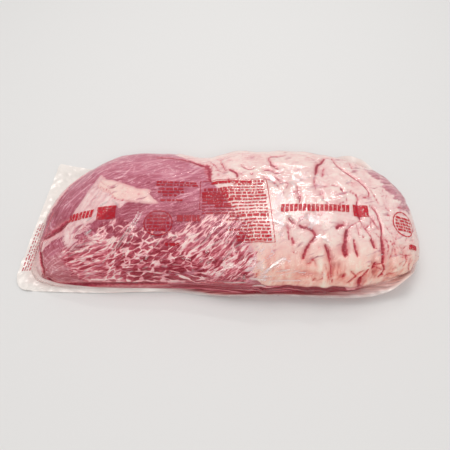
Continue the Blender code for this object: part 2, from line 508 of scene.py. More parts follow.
LEFT_RIM = (
    (-92, 140), (-106, 122), (-122, 108), (-137, 95), (-147, 78), (-164, 52), (-171, 40),
    (-176, 26), (-184, 14), (-196, 5), (-240, 5), (-240, 80), (-200, 150), (-92, 160),
)
LEFT_CORNER = (
    (-194, -44), (-186.5, -54), (-186, -68), (-186, -78), (-191, -92), (-230, -110), (-235, -50),
)
PATCHES = (TORN_PATCH, WEDGE, LEFT_RIM, LEFT_CORNER)
SHOULDER_LEAN = (
    (158, 34), (163, 24), (169, 15), (174, 9), (179, 4), (185, 1), (183, -4), (188, -9), (200, -8),
    (222, 4), (215, 30), (200, 48), (180, 60), (166, 58), (156, 48),
)

SHOULDER_EDGE = (-7, 6)
FEATHER_DOWN = (-16, -26)  # below this v, wisps of fat run on over the lean
FEATHER_OFF_CAP = (-4, -8)
UNDERSIDE_FAT_FROM = 20

cap_inside = inside_by(FAT_CAP)
patch_inside = np.max([inside_by(outline) for outline in PATCHES], axis=0)
flap_inside = inside_by(PATCH_FLAP)
shoulder = smooth_step(*SHOULDER_EDGE, inside_by(SHOULDER_LEAN))
fat_inside = np.maximum(cap_inside, patch_inside)
feather = smooth_step(*FEATHER_DOWN, v) * smooth_step(*FEATHER_OFF_CAP, cap_inside)
fat_below = np.clip(u - UNDERSIDE_FAT_FROM, -OUTLINE_REACH, OUTLINE_REACH)
fat_inside = np.where(below > 0.5, fat_below, fat_inside)
print("Fat covers", round(100 * (fat_inside > 0).mean()), "% of the skin points")

# %% [markdown]
# ## Seams and grooves
#
# Dark red lines mark where muscles part under the silverskin, and where the fat cap has folded
# as the bag shrank. Two along the foot of the near side are painted shade where the slab meets
# the fin. They are true grooves, so they are pressed into the mesh, and the same curves later
# colour them. Each entry is a width, a strength and its places on the skin.

# %% Seams of the lean, in skin mm
SEAMS = (
    (2.4, 0.65, ((-66, 61), (-56, 58.5), (-40, 56.5), (-26, 54), (-20, 50), (-13, 46.5), (-11, 38),
                 (-10, 26), (-9, 21))),
    (4.2, 0.5, ((-26, 54), (-14, 47), (-11, 38), (-10, 28))),
    (4.6, 0.85, ((-190, -27), (-180, -29), (-173, -28), (-165, -25), (-158, -21), (-153, -17))),
    (2.0, 1.0, ((-182, -31), (-173, -30), (-165, -27), (-157, -22), (-149, -15))),
    (2.0, 0.9, ((-184, -26), (-187, -18), (-187, -10), (-186, -3), (-183, 4))),
    (1.6, 0.95, ((-186, -29), (-187.5, -36), (-187.5, -43), (-187, -48))),
    (1.3, 0.6, ((-200, -20), (-206, -8), (-206, 4))),
    (2.2, 1.0, ((-210, -27), (-200, -29), (-194, -38), (-188.5, -47), (-185.5, -56), (-185, -67),
                (-183.5, -76), (-185, -88), (-188, -97))),
    # These two run along the foot of the near side. Their dark red is painted shade where the slab meets the
    # fin.
    (1.6, 0.5, ((-25, -113), (0, -110), (25, -113), (45, -115), (68, -117), (90, -116), (120, -117))),
    (3.0, 1.0, ((-182, -101), (-166, -112), (-140, -116), (-110, -117.5), (-80, -119), (-50, -118))),
)
print(len(SEAMS), "seams in the lean")

# %% Folds of the fat cap, in skin mm
CAP_FOLDS = (
    (0.8, 0.5, ((-11, 57), (-4, 44), (-1, 36), (8, 31))),
    (0.9, 0.6, ((-1, 56), (3, 44), (6, 36), (10, 37), (14, 32))),
    (1.2, 0.9, ((9, 37), (14, 32.5), (17, 30), (18, 24))),
    (0.7, 0.6, ((21, 43), (26, 38), (32, 35.5), (35, 38))),
    (1.5, 0.6, ((31, 29.5), (33, 28.5))),
    (1.2, 0.5, ((8, 23), (10, 20))),
    (1.6, 0.5, ((49, 54), (54, 58), (60, 56), (67, 58))),
    (1.1, 0.6, ((50.8, 55), (51.7, 45.3), (54, 41))),
    (1.6, 0.65, ((52, 42), (56, 39), (59, 35.5))),
    (1.1, 0.6, ((43, 33), (48, 35), (53, 33), (56, 30), (64, 31))),
    (1.0, 0.75, ((44, 24), (51, 20), (55, 15), (58, 11))),
    (0.9, 0.5, ((63, 19), (67, 14), (65, 9))),
    (1.5, 0.5, ((70, 5), (76, 0))),
    (1.0, 0.4, ((78, 5), (78, -5), (74, -15))),
    (1.3, 1.0, ((111, 62), (105, 50), (100, 43.7), (98, 36), (96, 28.7))),
    (0.9, 0.55, ((96, 28.7), (94, 22), (93.3, 13.7), (94, 8))),
    (1.2, 0.5, ((106, 38), (104, 31), (102.5, 25))),
    (0.8, 0.75, ((119, 62), (120, 45), (126.7, 34.5), (133.3, 27), (140, 21), (145, 13.7), (147.5, 7))),
    (1.0, 0.6, ((147.5, 7), (146.7, 3), (141.7, 0.5), (133.3, -2.7), (132.5, -9))),
    (0.7, 0.5, ((96.7, 11), (105, 12), (113.3, 12.8), (119, 10), (120.8, 2))),
    (1.0, 0.5, ((118, 9), (122, 2))),
    (0.8, 0.45, ((97, 3), (99, -3))),
    (0.8, 0.4, ((101, -8), (106, -13))),
    (0.8, 0.35, ((125, 8), (132, -1))),
    (1.2, 0.45, ((137, 54), (136, 40))),
    (0.8, 0.4, ((146, 60), (144, 49))),
    (0.8, 0.45, ((117, -41), (122, -36), (128, -31), (133, -28))),
    (0.6, 0.3, ((98, 5), (102, -2), (110, -6), (119, -5))),
    (1.0, 0.55, ((145, -10), (150, -17), (151.5, -24))),
    (1.2, 0.6, ((178, -6), (192, -3), (206, 4))),
    (0.9, 0.45, ((98, 6), (101, -7), (110, -11), (119, -8), (126, -4))),
    (1.2, 0.5, ((128, 7), (134, 0))),
    (1.5, 0.6, ((76, 10), (77, 0), (77, -10))),
    (1.2, 0.5, ((54, 27), (59, 19), (62, 13))),
    (0.8, 0.4, ((150, 12), (153, 3), (156, -7))),
    (0.9, 0.45, ((147, -9), (151, -18), (153, -26))),
    (0.8, 0.4, ((158, -31), (162, -40))),
    (0.9, 0.4, ((162, -9), (167, -13))),
    (0.8, 0.35, ((165, 19), (171, 15))),
)
print(len(CAP_FOLDS), "folds in the cap")

# %% Folds of the torn patch, in skin mm
PATCH_FOLDS = (
    (0.9, 0.4, ((-122, 19), (-116, 14), (-111, 11), (-108, 5), (-103, 0), (-96, -3), (-90, -5))),
    (0.7, 0.35, ((-124, 30), (-119, 22), (-112, 17), (-104, 15))),
    (0.6, 0.3, ((-101, 13), (-90, 8), (-80, 3), (-72, 1))),
    (0.6, 0.3, ((-140, 8), (-133, 2), (-127, -6), (-124, -14))),
    (0.7, 0.35, ((-133, 14), (-127, 8), (-120, 5))),
    (0.7, 0.35, ((-152, -24), (-147, -33), (-146, -44))),
    (0.7, 0.35, ((-143, -24), (-141, -33), (-143, -42))),
    (0.6, 0.3, ((-136, -22), (-132, -28), (-133, -35))),
)
print(len(PATCH_FOLDS), "folds in the torn patch")

# %% Folds of the front slope, in skin mm
FRONT_FOLDS = (
    (1.1, 0.9, ((65, -26), (67, -29), (70, -33))),
    (1.5, 0.95, ((74, -34.5), (77, -36.5), (81, -37), (85, -39), (88, -43), (89, -46), (86, -50), (83, -53))),
    (1.3, 0.95, ((83, -53), (81, -57), (79, -61), (77.5, -66), (76.5, -71))),
    (1.3, 1.0, ((97, -55), (100, -63), (101.6, -74))),
    (0.8, 0.6, ((101.6, -74), (103, -85), (103, -95), (105, -108))),
    (2.0, 0.85, ((109, -38), (111, -35.5), (116, -33.5))),
    (1.7, 1.0, ((118.5, -39), (117, -47), (116, -55))),
    (2.6, 1.1, ((116, -53), (115.5, -60), (116.3, -67))),
    (1.2, 0.8, ((124.5, -49), (125.5, -57), (128, -68))),
    (0.8, 0.4, ((128.7, -33), (129.5, -40), (130, -47))),
    (0.8, 0.45, ((133, -29), (136, -36), (139, -42))),
    (1.3, 0.9, ((141.5, -48), (143, -51), (145, -58))),
    (1.0, 0.7, ((151, -23), (153, -32), (152.5, -44))),
    (1.7, 1.0, ((152.5, -44), (153.3, -58), (154.5, -69), (154.4, -78))),
    (1.3, 0.8, ((154.4, -78), (158, -85), (158, -92), (156, -101))),
    (1.7, 0.8, ((147.5, -76), (145.6, -85))),
    (1.4, 0.6, ((140, -85), (137.5, -92), (135.5, -99))),
    (2.6, 1.0, ((135.5, -97), (134, -103), (135, -109), (136, -115))),
    (1.1, 0.5, ((122, -87), (126, -92.5), (129, -97))),
    (1.0, 0.5, ((120, -107), (126, -99), (130, -92), (135, -87))),
    (1.5, 0.7, ((116.5, -92), (115, -99))),
    (1.2, 0.5, ((63.3, -34), (64.4, -50))),
    (2.2, 0.45, ((67, -47), (68, -54))),
    (1.0, 0.45, ((79, -73), (82, -77), (86, -71), (88, -80))),
    (1.1, 0.4, ((93, -92), (94, -98), (90, -104))),
    (1.8, 0.3, ((164, -40), (166, -50), (171, -58))),
    (1.6, 0.35, ((172, -64), (182, -67), (192, -66))),
    (2.4, 0.35, ((192, -72), (194, -84), (200, -92))),
    (1.8, 0.3, ((166, -52), (168, -45), (171, -40))),
    (1.9, 0.35, ((161, -49), (166, -57), (169, -67))),
    (1.6, 0.35, ((155, -44), (159, -55), (159, -65))),
    (1.6, 0.3, ((173, -54), (179, -62), (178, -70))),
    (1.8, 0.3, ((175, -69), (184, -71), (190, -77), (191, -86))),
    (1.1, 0.5, ((143, -75), (150, -84), (161, -88))),
    (1.1, 0.45, ((156, -98), (168, -100), (177, -94))),
    (1.7, 0.8, ((132, -9), (132, -19), (133, -27))),
    (0.8, 0.5, ((136, -33), (140, -43), (143, -48))),
    (1.7, 0.3, ((165, -48), (164, -62), (162, -72))),
    (0.9, 0.5, ((141, -20), (146, -29), (150, -37))),
    (0.8, 0.45, ((143, -27), (143, -36))),
    (1.0, 0.5, ((144, -85), (149, -79), (153, -78))),
    (1.5, 0.35, ((103, -108), (100, -94), (97, -78))),
    (0.7, 0.35, ((110, -78), (109, -95))),
    (0.9, 0.5, ((183, -66), (186, -77), (183, -84))),
)
print(len(FRONT_FOLDS), "folds on the front slope")

# %% Draw the seams and folds
SMALL_FOLDS = 90
SMALL_FOLDS_U = (0, 195)
SMALL_FOLDS_V = (-105, 62)
FRONT_BELOW = -40
FRONT_TURN = math.radians(80)  # small folds run down the front slope and slant on top
TOP_TURN = math.radians(140)
SMALL_TURN_SPREAD = 0.5
SMALL_WIDTHS = (0.5, 0.9)
SMALL_STRENGTHS = (0.2, 0.5)
SMALL_LENGTHS = (2, 9)
SMALL_SWAY = 0.4
FLUSH_SPREAD = 2.6
SEAM_FLUSH = 0.8
LINE_POINTS = 5

chance = np.random.default_rng(21)


def wavy_line(start, length, direction, sway):
    """A gently wandering line of a few points from a starting place."""
    ahead = np.array([math.cos(direction), math.sin(direction)])
    aside = np.array([-ahead[1], ahead[0]])
    steps = np.linspace(0, 1, LINE_POINTS)[:, None]
    return np.array(start) + steps * length * ahead + chance.normal(0, sway, (LINE_POINTS, 1)) * aside


small_folds = []
for k in range(SMALL_FOLDS):
    start = (chance.uniform(*SMALL_FOLDS_U), chance.uniform(*SMALL_FOLDS_V))
    turn = chance.normal(FRONT_TURN if start[1] < FRONT_BELOW else TOP_TURN, SMALL_TURN_SPREAD)
    width = chance.uniform(*SMALL_WIDTHS)
    strength = chance.uniform(*SMALL_STRENGTHS)
    course = wavy_line(start, chance.uniform(*SMALL_LENGTHS), turn, SMALL_SWAY)
    small_folds.append((width, strength, course))
folds = CAP_FOLDS + FRONT_FOLDS + PATCH_FOLDS + tuple(small_folds)
seam_line = lines(SEAMS)
fold_line = lines(folds)
groove = np.maximum(seam_line, fold_line)
flush = np.maximum(lines(folds, spread=FLUSH_SPREAD), SEAM_FLUSH * lines(SEAMS, spread=FLUSH_SPREAD))
print("Grooves reach", round(100 * (groove > 0.3).mean(), 1), "% of the skin points")

# %% [markdown]
# ## Where each kind of marbling lies
#
# The marbling changes along the cut: a net of dark islands in the front middle, slanted bands
# nearer the cap, and flat streaks at the left corner. Each kind gets its own soft region, and
# the shader draws the fine pattern inside it. A pattern alone would be even all over, so spots
# where lean or fat gathers steer it.

# %% Regions of marbling, in skin mm
NET_REGION = (
    (-116, -30), (-95, -24), (-74, -36), (-45, -40), (-22, -34), (0, -40), (6, -60), (2, -85),
    (-4, -104), (-30, -116), (-95, -117), (-110, -112), (-112, -84), (-122, -66), (-120, -46),
)
BAND_REGION = (
    (-34, -34), (-12, -22), (14, -16), (34, -24), (38, -50), (46, -66), (40, -86), (30, -104),
    (-6, -104), (-24, -80), (-34, -60),
)
STREAK_REGION = (
    (-151, -49), (-140, -50), (-124, -38), (-110, -50), (-108, -76), (-112, -108), (-132, -112),
    (-142, -90), (-151, -74), (-155, -60),
)
ISLAND_REGION = ((-92, -88), (-60, -84), (-18, -86), (-10, -104), (-30, -116), (-90, -117))
REGION_EDGE = 10.0
STREAK_EDGE = 20.0

# Places on the skin where a change begins and where it is complete.
WARM_FRONT = (-30, -95)
LOW_LEAN = (-34, -72)
PALER_BACK = (-25, 65)
DARKER_TIP = (-190, -140)
PALE_PLACES = ((-6, 16, -2, 15, 0.8), (-165, 24, -72, 24, 0.75))
ROLLED_EDGE = (-110, -118)
ROLL_START = (-60, -20)
ROLL_END = (170, 200)


def region(outline, edge=REGION_EDGE):
    """1 well inside an outline and 0 outside, with a soft edge."""
    return smooth_step(-edge / 2, edge / 2, inside_by(outline))


net = region(NET_REGION)
bands = region(BAND_REGION)
streaks = region(STREAK_REGION, edge=STREAK_EDGE)
islands = region(ISLAND_REGION)
warmth = smooth_step(*WARM_FRONT, v) * (1 - below)
low = smooth_step(*LOW_LEAN, v)
pale = smooth_step(*PALER_BACK, v) * smooth_step(*DARKER_TIP, u) + hills(PALE_PLACES, u, v)
under_roll = smooth_step(*ROLLED_EDGE, v) * smooth_step(*ROLL_START, u) * (1 - smooth_step(*ROLL_END, u))
print("Net", round(net.mean(), 3), "bands", round(bands.mean(), 3), "streaks", round(streaks.mean(), 3))

# %% Soft spots on the skin
SPOT_SPREAD = 0.6


def spots(places):
    """Soft ovals. Each has its middle, its length, width and turn in degrees, and its strength."""
    total = np.zeros(u.shape)
    for a, b, length, width, turn, strength in places:
        ahead = math.cos(math.radians(turn)), math.sin(math.radians(turn))
        along = ((u - a) * ahead[0] + (v - b) * ahead[1]) / (SPOT_SPREAD * length)
        across = ((v - b) * ahead[0] - (u - a) * ahead[1]) / (SPOT_SPREAD * width)
        total = np.maximum(total, strength * np.exp(-(along**2 + across**2)) * (below < 0.5))
    return total


# %% Spots where fat or lean gathers: middle, length, width, turn and strength
PALE_SPOTS = (
    (-107, -57, 11, 4, 60, 1.0), (-117, -52, 6, 5, 0, 0.9), (-90, -67, 7, 3, 20, 1.0),
    (-84, -62, 6, 3, 20, 1.0), (-74, -46, 7, 2.5, 10, 1.0), (-65, -62, 7, 3.5, -10, 1.0),
    (-68, -51, 7, 4, 40, 0.9), (-102, -76, 7, 5, 60, 0.9), (-85, -82, 11, 5, 50, 0.8),
    (-75, -87, 8, 3, -20, 1.0), (-117, -42, 6, 4, 0, 0.8), (-33, -53, 9, 5, 60, 1.0),
    (-55, -95, 10, 3, 85, 0.7), (-64, -95, 13, 3, 95, 0.8), (-36, -105, 8, 4, 20, 1.0),
    (-104, -64, 8, 4, 70, 0.7), (-99, -55, 10, 4, 60, 0.7), (-29, -86, 6, 4, 70, 0.8),
    (-24, -62, 12, 3, 15, 0.9), (-14, -59, 10, 4, 25, 0.9), (-8, -66, 8, 3, 40, 0.7),
    (-4, -58, 8, 4, 35, 0.8), (-22, -74, 9, 2.5, 50, 0.8), (-12, -96, 9, 5, 40, 0.9),
    (-2, -85, 12, 3, 55, 1.0), (12, -69, 14, 3, 48, 1.0), (22, -71, 12, 3, 52, 1.0),
    (5, -83, 8, 3, 50, 0.9), (18, -58, 8, 2.5, 40, 0.9), (28, -74, 12, 5, 52, 1.0),
    (14, -83, 5, 3, 30, 0.9), (26, -92, 4, 3, 0, 0.6), (-26, -106, 8, 3, 30, 0.8),
    (-137, -58, 14, 2.2, 12, 0.9), (-132, -66, 13, 3, 12, 0.9), (-141, -66, 6, 3, 40, 0.8),
    (-150, -73, 6, 2.5, 70, 0.7), (-177, -78, 10, 3, 80, 0.7), (-126, -86, 11, 5, 70, 1.7),
    (-122, -91, 17, 7, -65, 1.0), (-134, -74, 10, 3, 30, 0.7), (-116, -74, 6, 4, 60, 0.8),
    (-98, -94, 24, 6, -65, 1.6), (-96, -108, 22, 8, -25, 2.3), (-114, -107, 24, 3, 4, 1.7),
)
DARK_SPOTS = (
    (-76, -52, 10, 3.5, 15, 0.8), (-83, -74, 8, 3.5, 50, 0.9), (-69, -74, 13, 4, 58, 1.0),
    (-57, -63, 15, 3, 30, 1.0), (-52, -85, 9, 5, 55, 1.0), (-45, -84, 9, 6, 70, 1.0),
    (-42, -73, 14, 5, 60, 1.0), (-91, -81, 7, 4, 60, 1.0), (-76, -94, 22, 8, -4, 0.7),
    (-76, -107, 26, 8, 0, 0.7), (-52, -97, 6, 5, 0, 0.9), (-36, -84, 7, 7, 60, 0.9),
    (-37, -95, 10, 6, 30, 0.9), (-58, -104, 8, 6, 0, 0.9), (-49, -107, 8, 6, 0, 0.8),
    (-27, -72, 9, 6, 60, 1.0), (-19, -79, 9, 5, 60, 1.0), (-24, -92, 9, 5, 30, 0.9),
    (-10, -76, 14, 5, 50, 1.0), (3, -75, 12, 4, 55, 1.0), (13, -65, 10, 4, 50, 1.0),
    (-6, -86, 8, 4, 55, 1.0), (27, -67, 9, 2.5, 50, 0.9), (33, -72, 8, 2, 35, 0.8),
    (20, -90, 18, 13, 20, 1.0), (14, -102, 34, 12, -8, 1.0), (23, -98, 10, 6, 0, 1.0),
    (22, -48, 8, 6, 0, 1.0), (12, -42, 11, 6, 30, 1.0), (2, -42, 12, 6, 60, 1.0), (-9, -49, 14, 4, 50, 1.0),
    (-16, -56, 8, 3, 40, 0.8), (-9, -64, 16, 2.5, -5, 0.9), (-26, -78, 6, 4, 50, 0.8),
    (9, -56, 10, 4, 55, 0.8), (-138, -52, 28, 3, 2, 1.0), (-150, -66, 14, 9, 80, 0.9),
    (-141, -61, 24, 2.5, 12, 0.9), (-138, -84, 20, 12, 10, 1.0), (-120, -70, 16, 2.5, 15, 0.7),
    (-143, -94, 12, 8, 60, 0.8), (-108, -70, 7, 3, 70, 0.7), (-98, -82, 10, 2.5, -60, 0.8),
    (-92, -100, 5, 8, 0, 0.7), (-111, -112, 8, 4, 0, 0.6), (-115, -94, 12, 3, -20, 0.7),
)

BLUSHES = (
    (150, -88, 26, 9, 60, 1.0), (137, -100, 22, 12, 60, 1.0), (120, -100, 24, 8, 20, 0.8),
    (158, -70, 22, 7, 85, 0.9), (166, -50, 18, 9, 80, 0.6), (84, -92, 26, 12, 10, 0.35),
    (100, -100, 20, 7, 80, 0.6), (176, -74, 26, 9, 70, 0.9), (192, -66, 22, 8, 85, 0.7),
    (78, -74, 16, 8, 60, 0.6), (116, -52, 30, 7, 90, 0.5), (128, -56, 26, 6, 95, 0.5),
    (90, -60, 22, 7, 75, 0.5), (60, -50, 26, 7, 90, 0.5), (180, -94, 26, 10, 30, 0.8),
)

pale_spots = spots(PALE_SPOTS)
dark_spots = spots(DARK_SPOTS)
guide = pale_spots - dark_spots
guided = np.maximum(pale_spots, dark_spots)
blush = spots(BLUSHES)
print(len(PALE_SPOTS), "pale and", len(DARK_SPOTS), "dark spots steer the marbling")

# %% [markdown]
# Long pale lines are drawn one by one: threads of sinew that bend round the lean's end, and the
# brightest strands of marbling. The eye follows these first, so their courses matter more than
# those of the small strands between them.

# %% Pale threads in the lean, in skin mm
THREADS = (
    (0.9, 0.5, ((-168, -5), (-160, 7), (-150, 15))),
    (1.0, 0.6, ((-165, 5), (-153, 13), (-143, 21), (-133, 29))),
    (0.9, 0.4, ((-164, 29), (-153, 45), (-146, 58))),
    (0.9, 0.4, ((-155, 31), (-139, 45), (-128, 63))),
    (0.9, 0.5, ((-140, 31), (-127, 42), (-113, 49))),
    (0.8, 0.5, ((-124, 36), (-115, 38), (-104, 38), (-91, 35), (-77, 36))),
    (0.9, 0.7, ((-109, 27), (-99, 29), (-94, 36), (-90, 42))),
    (0.8, 0.4, ((-87, 33), (-88, 45))),
    (1.0, 0.4, ((-70, 31), (-60, 29), (-45, 31))),
    (1.1, 0.5, ((-69, 22), (-49, 25), (-35, 32), (-20, 45))),
    (1.6, 0.6, ((-54, 18), (-34, 26), (-23, 37), (-13, 50))),
    (1.0, 0.3, ((-106, 57), (-88, 51), (-72, 51), (-57, 55))),
    (1.5, 0.6, ((-26, 42), (-15, 58))),
    (1.3, 0.5, ((-48, 12), (-29, 17), (-14, 24))),
    (1.2, 0.5, ((-40, -3), (-24, 7), (-11, 15))),
    (1.2, 0.4, ((-66, -11), (-52, -6), (-38, -2))),
    (1.2, 0.9, ((-113, -59), (-107, -57), (-104, -51), (-97, -48), (-93, -45))),
    (0.9, 0.7, ((-110, -46), (-103, -47), (-95, -45))),
    (0.9, 0.6, ((-106, -33), (-102, -31), (-96, -28))),
    (1.0, 0.6, ((-93, -38), (-87, -36), (-80, -34), (-74, -32))),
    (1.3, 0.9, ((-73, -58), (-64, -52), (-55, -50), (-46, -44), (-38, -43), (-31, -39))),
    (1.0, 0.7, ((-64, -60), (-62, -54), (-64, -48))),
    (1.0, 0.7, ((-56, -50), (-54, -56), (-56, -61))),
    (1.0, 0.7, ((-82, -71), (-75, -64), (-69, -61))),
    (1.2, 0.9, ((-45, -77), (-40, -67), (-35, -59), (-31, -50), (-27, -44))),
    (1.1, 0.8, ((-31, -50), (-26, -45), (-18, -41), (-12, -36))),
    (1.2, 0.8, ((-126, -43), (-121, -42), (-116, -40))),
    (1.6, 0.8, ((-122, -37), (-115, -45), (-110, -48))),
    (0.9, 0.6, ((-162, -63), (-155, -60), (-148, -55))),
    (1.1, 0.5, ((-172, -92), (-168, -84), (-167, -76))),
    (0.9, 0.5, ((-180, -62), (-172, -54), (-163, -50), (-154, -49))),
    (0.8, 0.6, ((-178, -72), (-169, -64), (-161, -60), (-153, -59))),
    (1.2, 0.5, ((-174, -80), (-166, -71), (-157, -66))),
    (0.8, 0.6, ((-165, -84), (-157, -77), (-149, -74), (-140, -74))),
    (0.9, 0.5, ((-160, -94), (-152, -88), (-143, -87))),
    (2.2, 0.35, ((-170, -58), (-160, -56), (-148, -60))),
    (2.6, 0.3, ((-155, -82), (-146, -80), (-136, -84))),
    (1.5, 0.9, ((-181, -12), (-177, -18), (-171, -22))),
    (1.2, 0.7, ((-180, -5), (-176, -13), (-170, -17))),
)

thread = lines(THREADS)
print(len(THREADS), "pale threads")

# %% [markdown]
# ## Fibres
#
# Lean meat is made of long fibres. They run along the cut and bend round its left end, so a
# second map gives each point its place along and across them. Right of the turning point the
# map is straight; left of it, it is polar.

# %% Map the fibres
TURN_U = -95
TURN_V = -20
FIBRE_CLIMB = 0.35
TURN_SQUASH = 0.85
TURN_RADIUS = 70

turn_u, turn_v = TURN_SQUASH * np.minimum(u - TURN_U, 0), v - TURN_V
radius = np.hypot(turn_u, turn_v)
bend = np.arctan2(-turn_u, np.abs(turn_v) + 1e-6)
fibre_along = np.maximum(u - TURN_U, 0) - bend * TURN_RADIUS
fibre_across = np.sign(turn_v + 1e-6) * radius - FIBRE_CLIMB * np.maximum(u - TURN_U, 0)
print("Fibres run", round(fibre_along.min()), "to", round(fibre_along.max()), "mm along")

# %% [markdown]
# ## Relief
#
# Under tight film the surface still swells and dips: lobes of fat bulge between their folds, and
# the lean has soft ridges. The relief is worked out in mm and pushed along the normals. It could
# be a bump map alone, but then the outline and the mesh itself would be smooth.

# %% Work out the relief
LOBE_RISE = 1.5
PATCH_RISE = 0.9
FLAP_RISE = 0.5
GROOVE_DEPTH = 1.6
DRAPE_RISE = 2.0
SETTLING = 1.4  # everything sits this much lower, so that the peaks stay near the CAD surface

off_edge = smooth_step(0, 8, cap_inside)
lobes = LOBE_RISE * (1 - flush) * smooth_step(0, 6, cap_inside)
patches = PATCH_RISE * smooth_step(-0.8, 1.6, patch_inside) + FLAP_RISE * smooth_step(-0.5, 1.0, flap_inside)
rolling = 0.9 * lumps(u, v, 26, 11) + 0.35 * lumps(u, v, 9, 12)
cap_lumps = off_edge * (0.7 * lumps(u, v * 0.6, 15, 13) + 0.25 * lumps(u, v, 5, 14))
drapes = off_edge * warmth * lumps(u + 0.15 * v, v * 0.22, 9, 17)
# The swell also colours the fat: painted highlight on the ridges of the lobes, painted shade in their hollows
# and beside the folds.
swell = cap_lumps + 0.9 * drapes - 0.5 * flush
marbled_ridges = 0.35 * guide + 0.3 * thread
net_lumps = 0.3 * np.maximum(np.maximum(net, bands), streaks) * lumps(u, v, 4.0, 16)
seam_fade = smooth_step(0, 6, slab[..., 2]) * (1 - below)
soft_relief = lobes + patches + rolling + cap_lumps + DRAPE_RISE * drapes + marbled_ridges - SETTLING
meat_relief = seam_fade * (soft_relief + net_lumps - GROOVE_DEPTH * groove)
print("Relief from", round(meat_relief.min(), 2), "to", round(meat_relief.max(), 2), "mm")

# %% [markdown]
# A fine plane with modifiers could carry this relief too. Here the points are already known, so
# the mesh is made from them in one go: a closed tube of four-sided faces, with a fan of
# triangles over each tip. Everything the shaders need later is stored at its points.


# %% Turn a grid of points into a mesh
def closed_ends(values):
    """A grid's values as one list, followed by those at the slab's two tips."""
    flat = values.reshape(-1, *values.shape[2:])
    return np.concatenate([flat, values[:1].mean(axis=1), values[-1:].mean(axis=1)])


def store(mesh, label, values):
    """Stores one number, or one vector, at each point of a mesh for its shader to read."""
    kind, field = ("FLOAT_VECTOR", "vector") if values.ndim == 2 else ("FLOAT", "value")
    layer = mesh.attributes.new(label, kind, "POINT")
    layer.data.foreach_set(field, values.astype(np.float32).ravel())


def skin_mesh(name, points, painted_values):
    """A closed mesh over the grid of points, with values stored at its points for the shaders."""
    rows, count = points.shape[:2]
    index = np.arange(rows * count).reshape(rows, count)
    beside = np.roll(index, -1, axis=1)
    quads = np.stack([index[:-1], beside[:-1], beside[1:], index[1:]], axis=-1).reshape(-1, 4)
    left = [(rows * count, b, a) for a, b in zip(index[0].tolist(), beside[0].tolist())]
    right = [(rows * count + 1, a, b) for a, b in zip(index[-1].tolist(), beside[-1].tolist())]
    mesh = bpy.data.meshes.new(name)
    mesh.from_pydata((closed_ends(points) * MM).tolist(), [], quads.tolist() + left + right)
    for label, values in painted_values.items():
        store(mesh, label, closed_ends(values))
    mesh.shade_smooth()
    return new_piece(name, mesh)


# %% Build the meat
FILM_GAP = 0.35
FLOOR_GAP = 0.3
UNDERSIDE_SHIFT = 80  # the underside's noise is taken from elsewhere, so that no pattern mirrors

meat_points = slab + normals * (meat_relief - FILM_GAP)[..., None]
meat_points[..., 2] = np.maximum(meat_points[..., 2], FLOOR_GAP)
skin_map = np.stack([u, v, UNDERSIDE_SHIFT * below], axis=-1)
fibre_map = np.stack([fibre_along, fibre_across, UNDERSIDE_SHIFT * below], axis=-1)
meat = skin_mesh("meat", meat_points, {
    "skin": skin_map, "fibre": fibre_map, "fat": fat_inside, "cap": cap_inside, "flap": flap_inside,
    "groove": groove, "flush": flush, "seam": seam_line, "thread": thread, "guide": guide,
    "guided": guided, "net": net, "bands": bands, "streaks": streaks, "islands": islands,
    "warmth": warmth, "low": low, "pale": pale, "shoulder": shoulder, "under_roll": under_roll,
    "feather": feather, "swell": swell, "blush": blush,
})
print("Meat has", len(meat.data.polygons), "faces")

# %% [markdown]
# ## The colour of lean and fat
#
# Raw lean in a sealed bag is a dull purple-red, not scarlet, because no air reaches it. Its fat
# is white with a pink blush, and warmer on the shaded front. Each tissue first becomes one value
# from 0, its deepest tone, to 1, its palest, and a colour ramp then turns the value into colour.
# That keeps soft pinks between dark lean and white fat, as in the real thing, where one shows
# through the other.

# %% Colour ramps, each from its deepest tone to its palest
LEAN_TONES = (
    (0.0, tone(134, 42, 62)), (0.3, tone(168, 74, 92)), (0.6, tone(202, 122, 140)),
    (0.85, tone(226, 160, 172)), (1.0, tone(244, 196, 202)),
)
LOW_LEAN_TONES = (
    (0.0, tone(138, 48, 60)), (0.3, tone(178, 90, 98)), (0.6, tone(206, 132, 140)),
    (0.85, tone(230, 168, 174)), (1.0, tone(246, 204, 204)),
)
UPPER_MARBLING = (
    (0.0, tone(146, 48, 66)), (0.32, tone(176, 84, 100)), (0.58, tone(210, 126, 138)),
    (0.80, tone(242, 176, 180)), (1.0, tone(252, 216, 210)),
)
LOWER_MARBLING = (
    (0.0, tone(138, 28, 44)), (0.28, tone(180, 66, 82)), (0.54, tone(220, 122, 134)),
    (0.78, tone(244, 178, 182)), (1.0, tone(252, 222, 216)),
)
CAP_TONES = (
    (0.0, tone(226, 150, 154)), (0.3, tone(241, 194, 192)), (0.55, tone(249, 217, 211)),
    (1.0, tone(254, 240, 230)),
)
FRONT_TONES = (
    (0.0, tone(214, 118, 106)), (0.32, tone(245, 174, 158)), (0.6, tone(255, 207, 190)),
    (1.0, tone(255, 235, 216)),
)
FLAP_TONES = ((0.0, tone(236, 176, 174)), (0.5, tone(247, 206, 198)), (1.0, tone(253, 228, 216)))
LOBE_TONES = ((0.0, tone(212, 148, 156)), (0.5, tone(241, 200, 198)), (1.0, tone(252, 228, 222)))
THIN_FAT = tone(222, 146, 156)
CAP_FOLD_TONES = (
    (0.0, tone(236, 168, 172)), (0.3, tone(220, 122, 134)), (0.6, tone(190, 70, 88)),
    (1.0, tone(158, 34, 56)),
)
FRONT_FOLD_TONES = (
    (0.0, tone(238, 160, 146)), (0.3, tone(222, 100, 94)), (0.6, tone(200, 66, 72)),
    (1.0, tone(168, 32, 46)),
)
HALO_PINK = tone(236, 168, 166)
SEAM_TONES = ((0.0, tone(220, 132, 146)), (0.4, tone(190, 74, 92)), (1.0, tone(136, 18, 40)))
FLECK_PINK = tone(206, 122, 126)


# %% Sums and ramps for the shaders
def less(tree, value):
    """One minus a value."""
    return maths(tree, "SUBTRACT", 1.0, value)


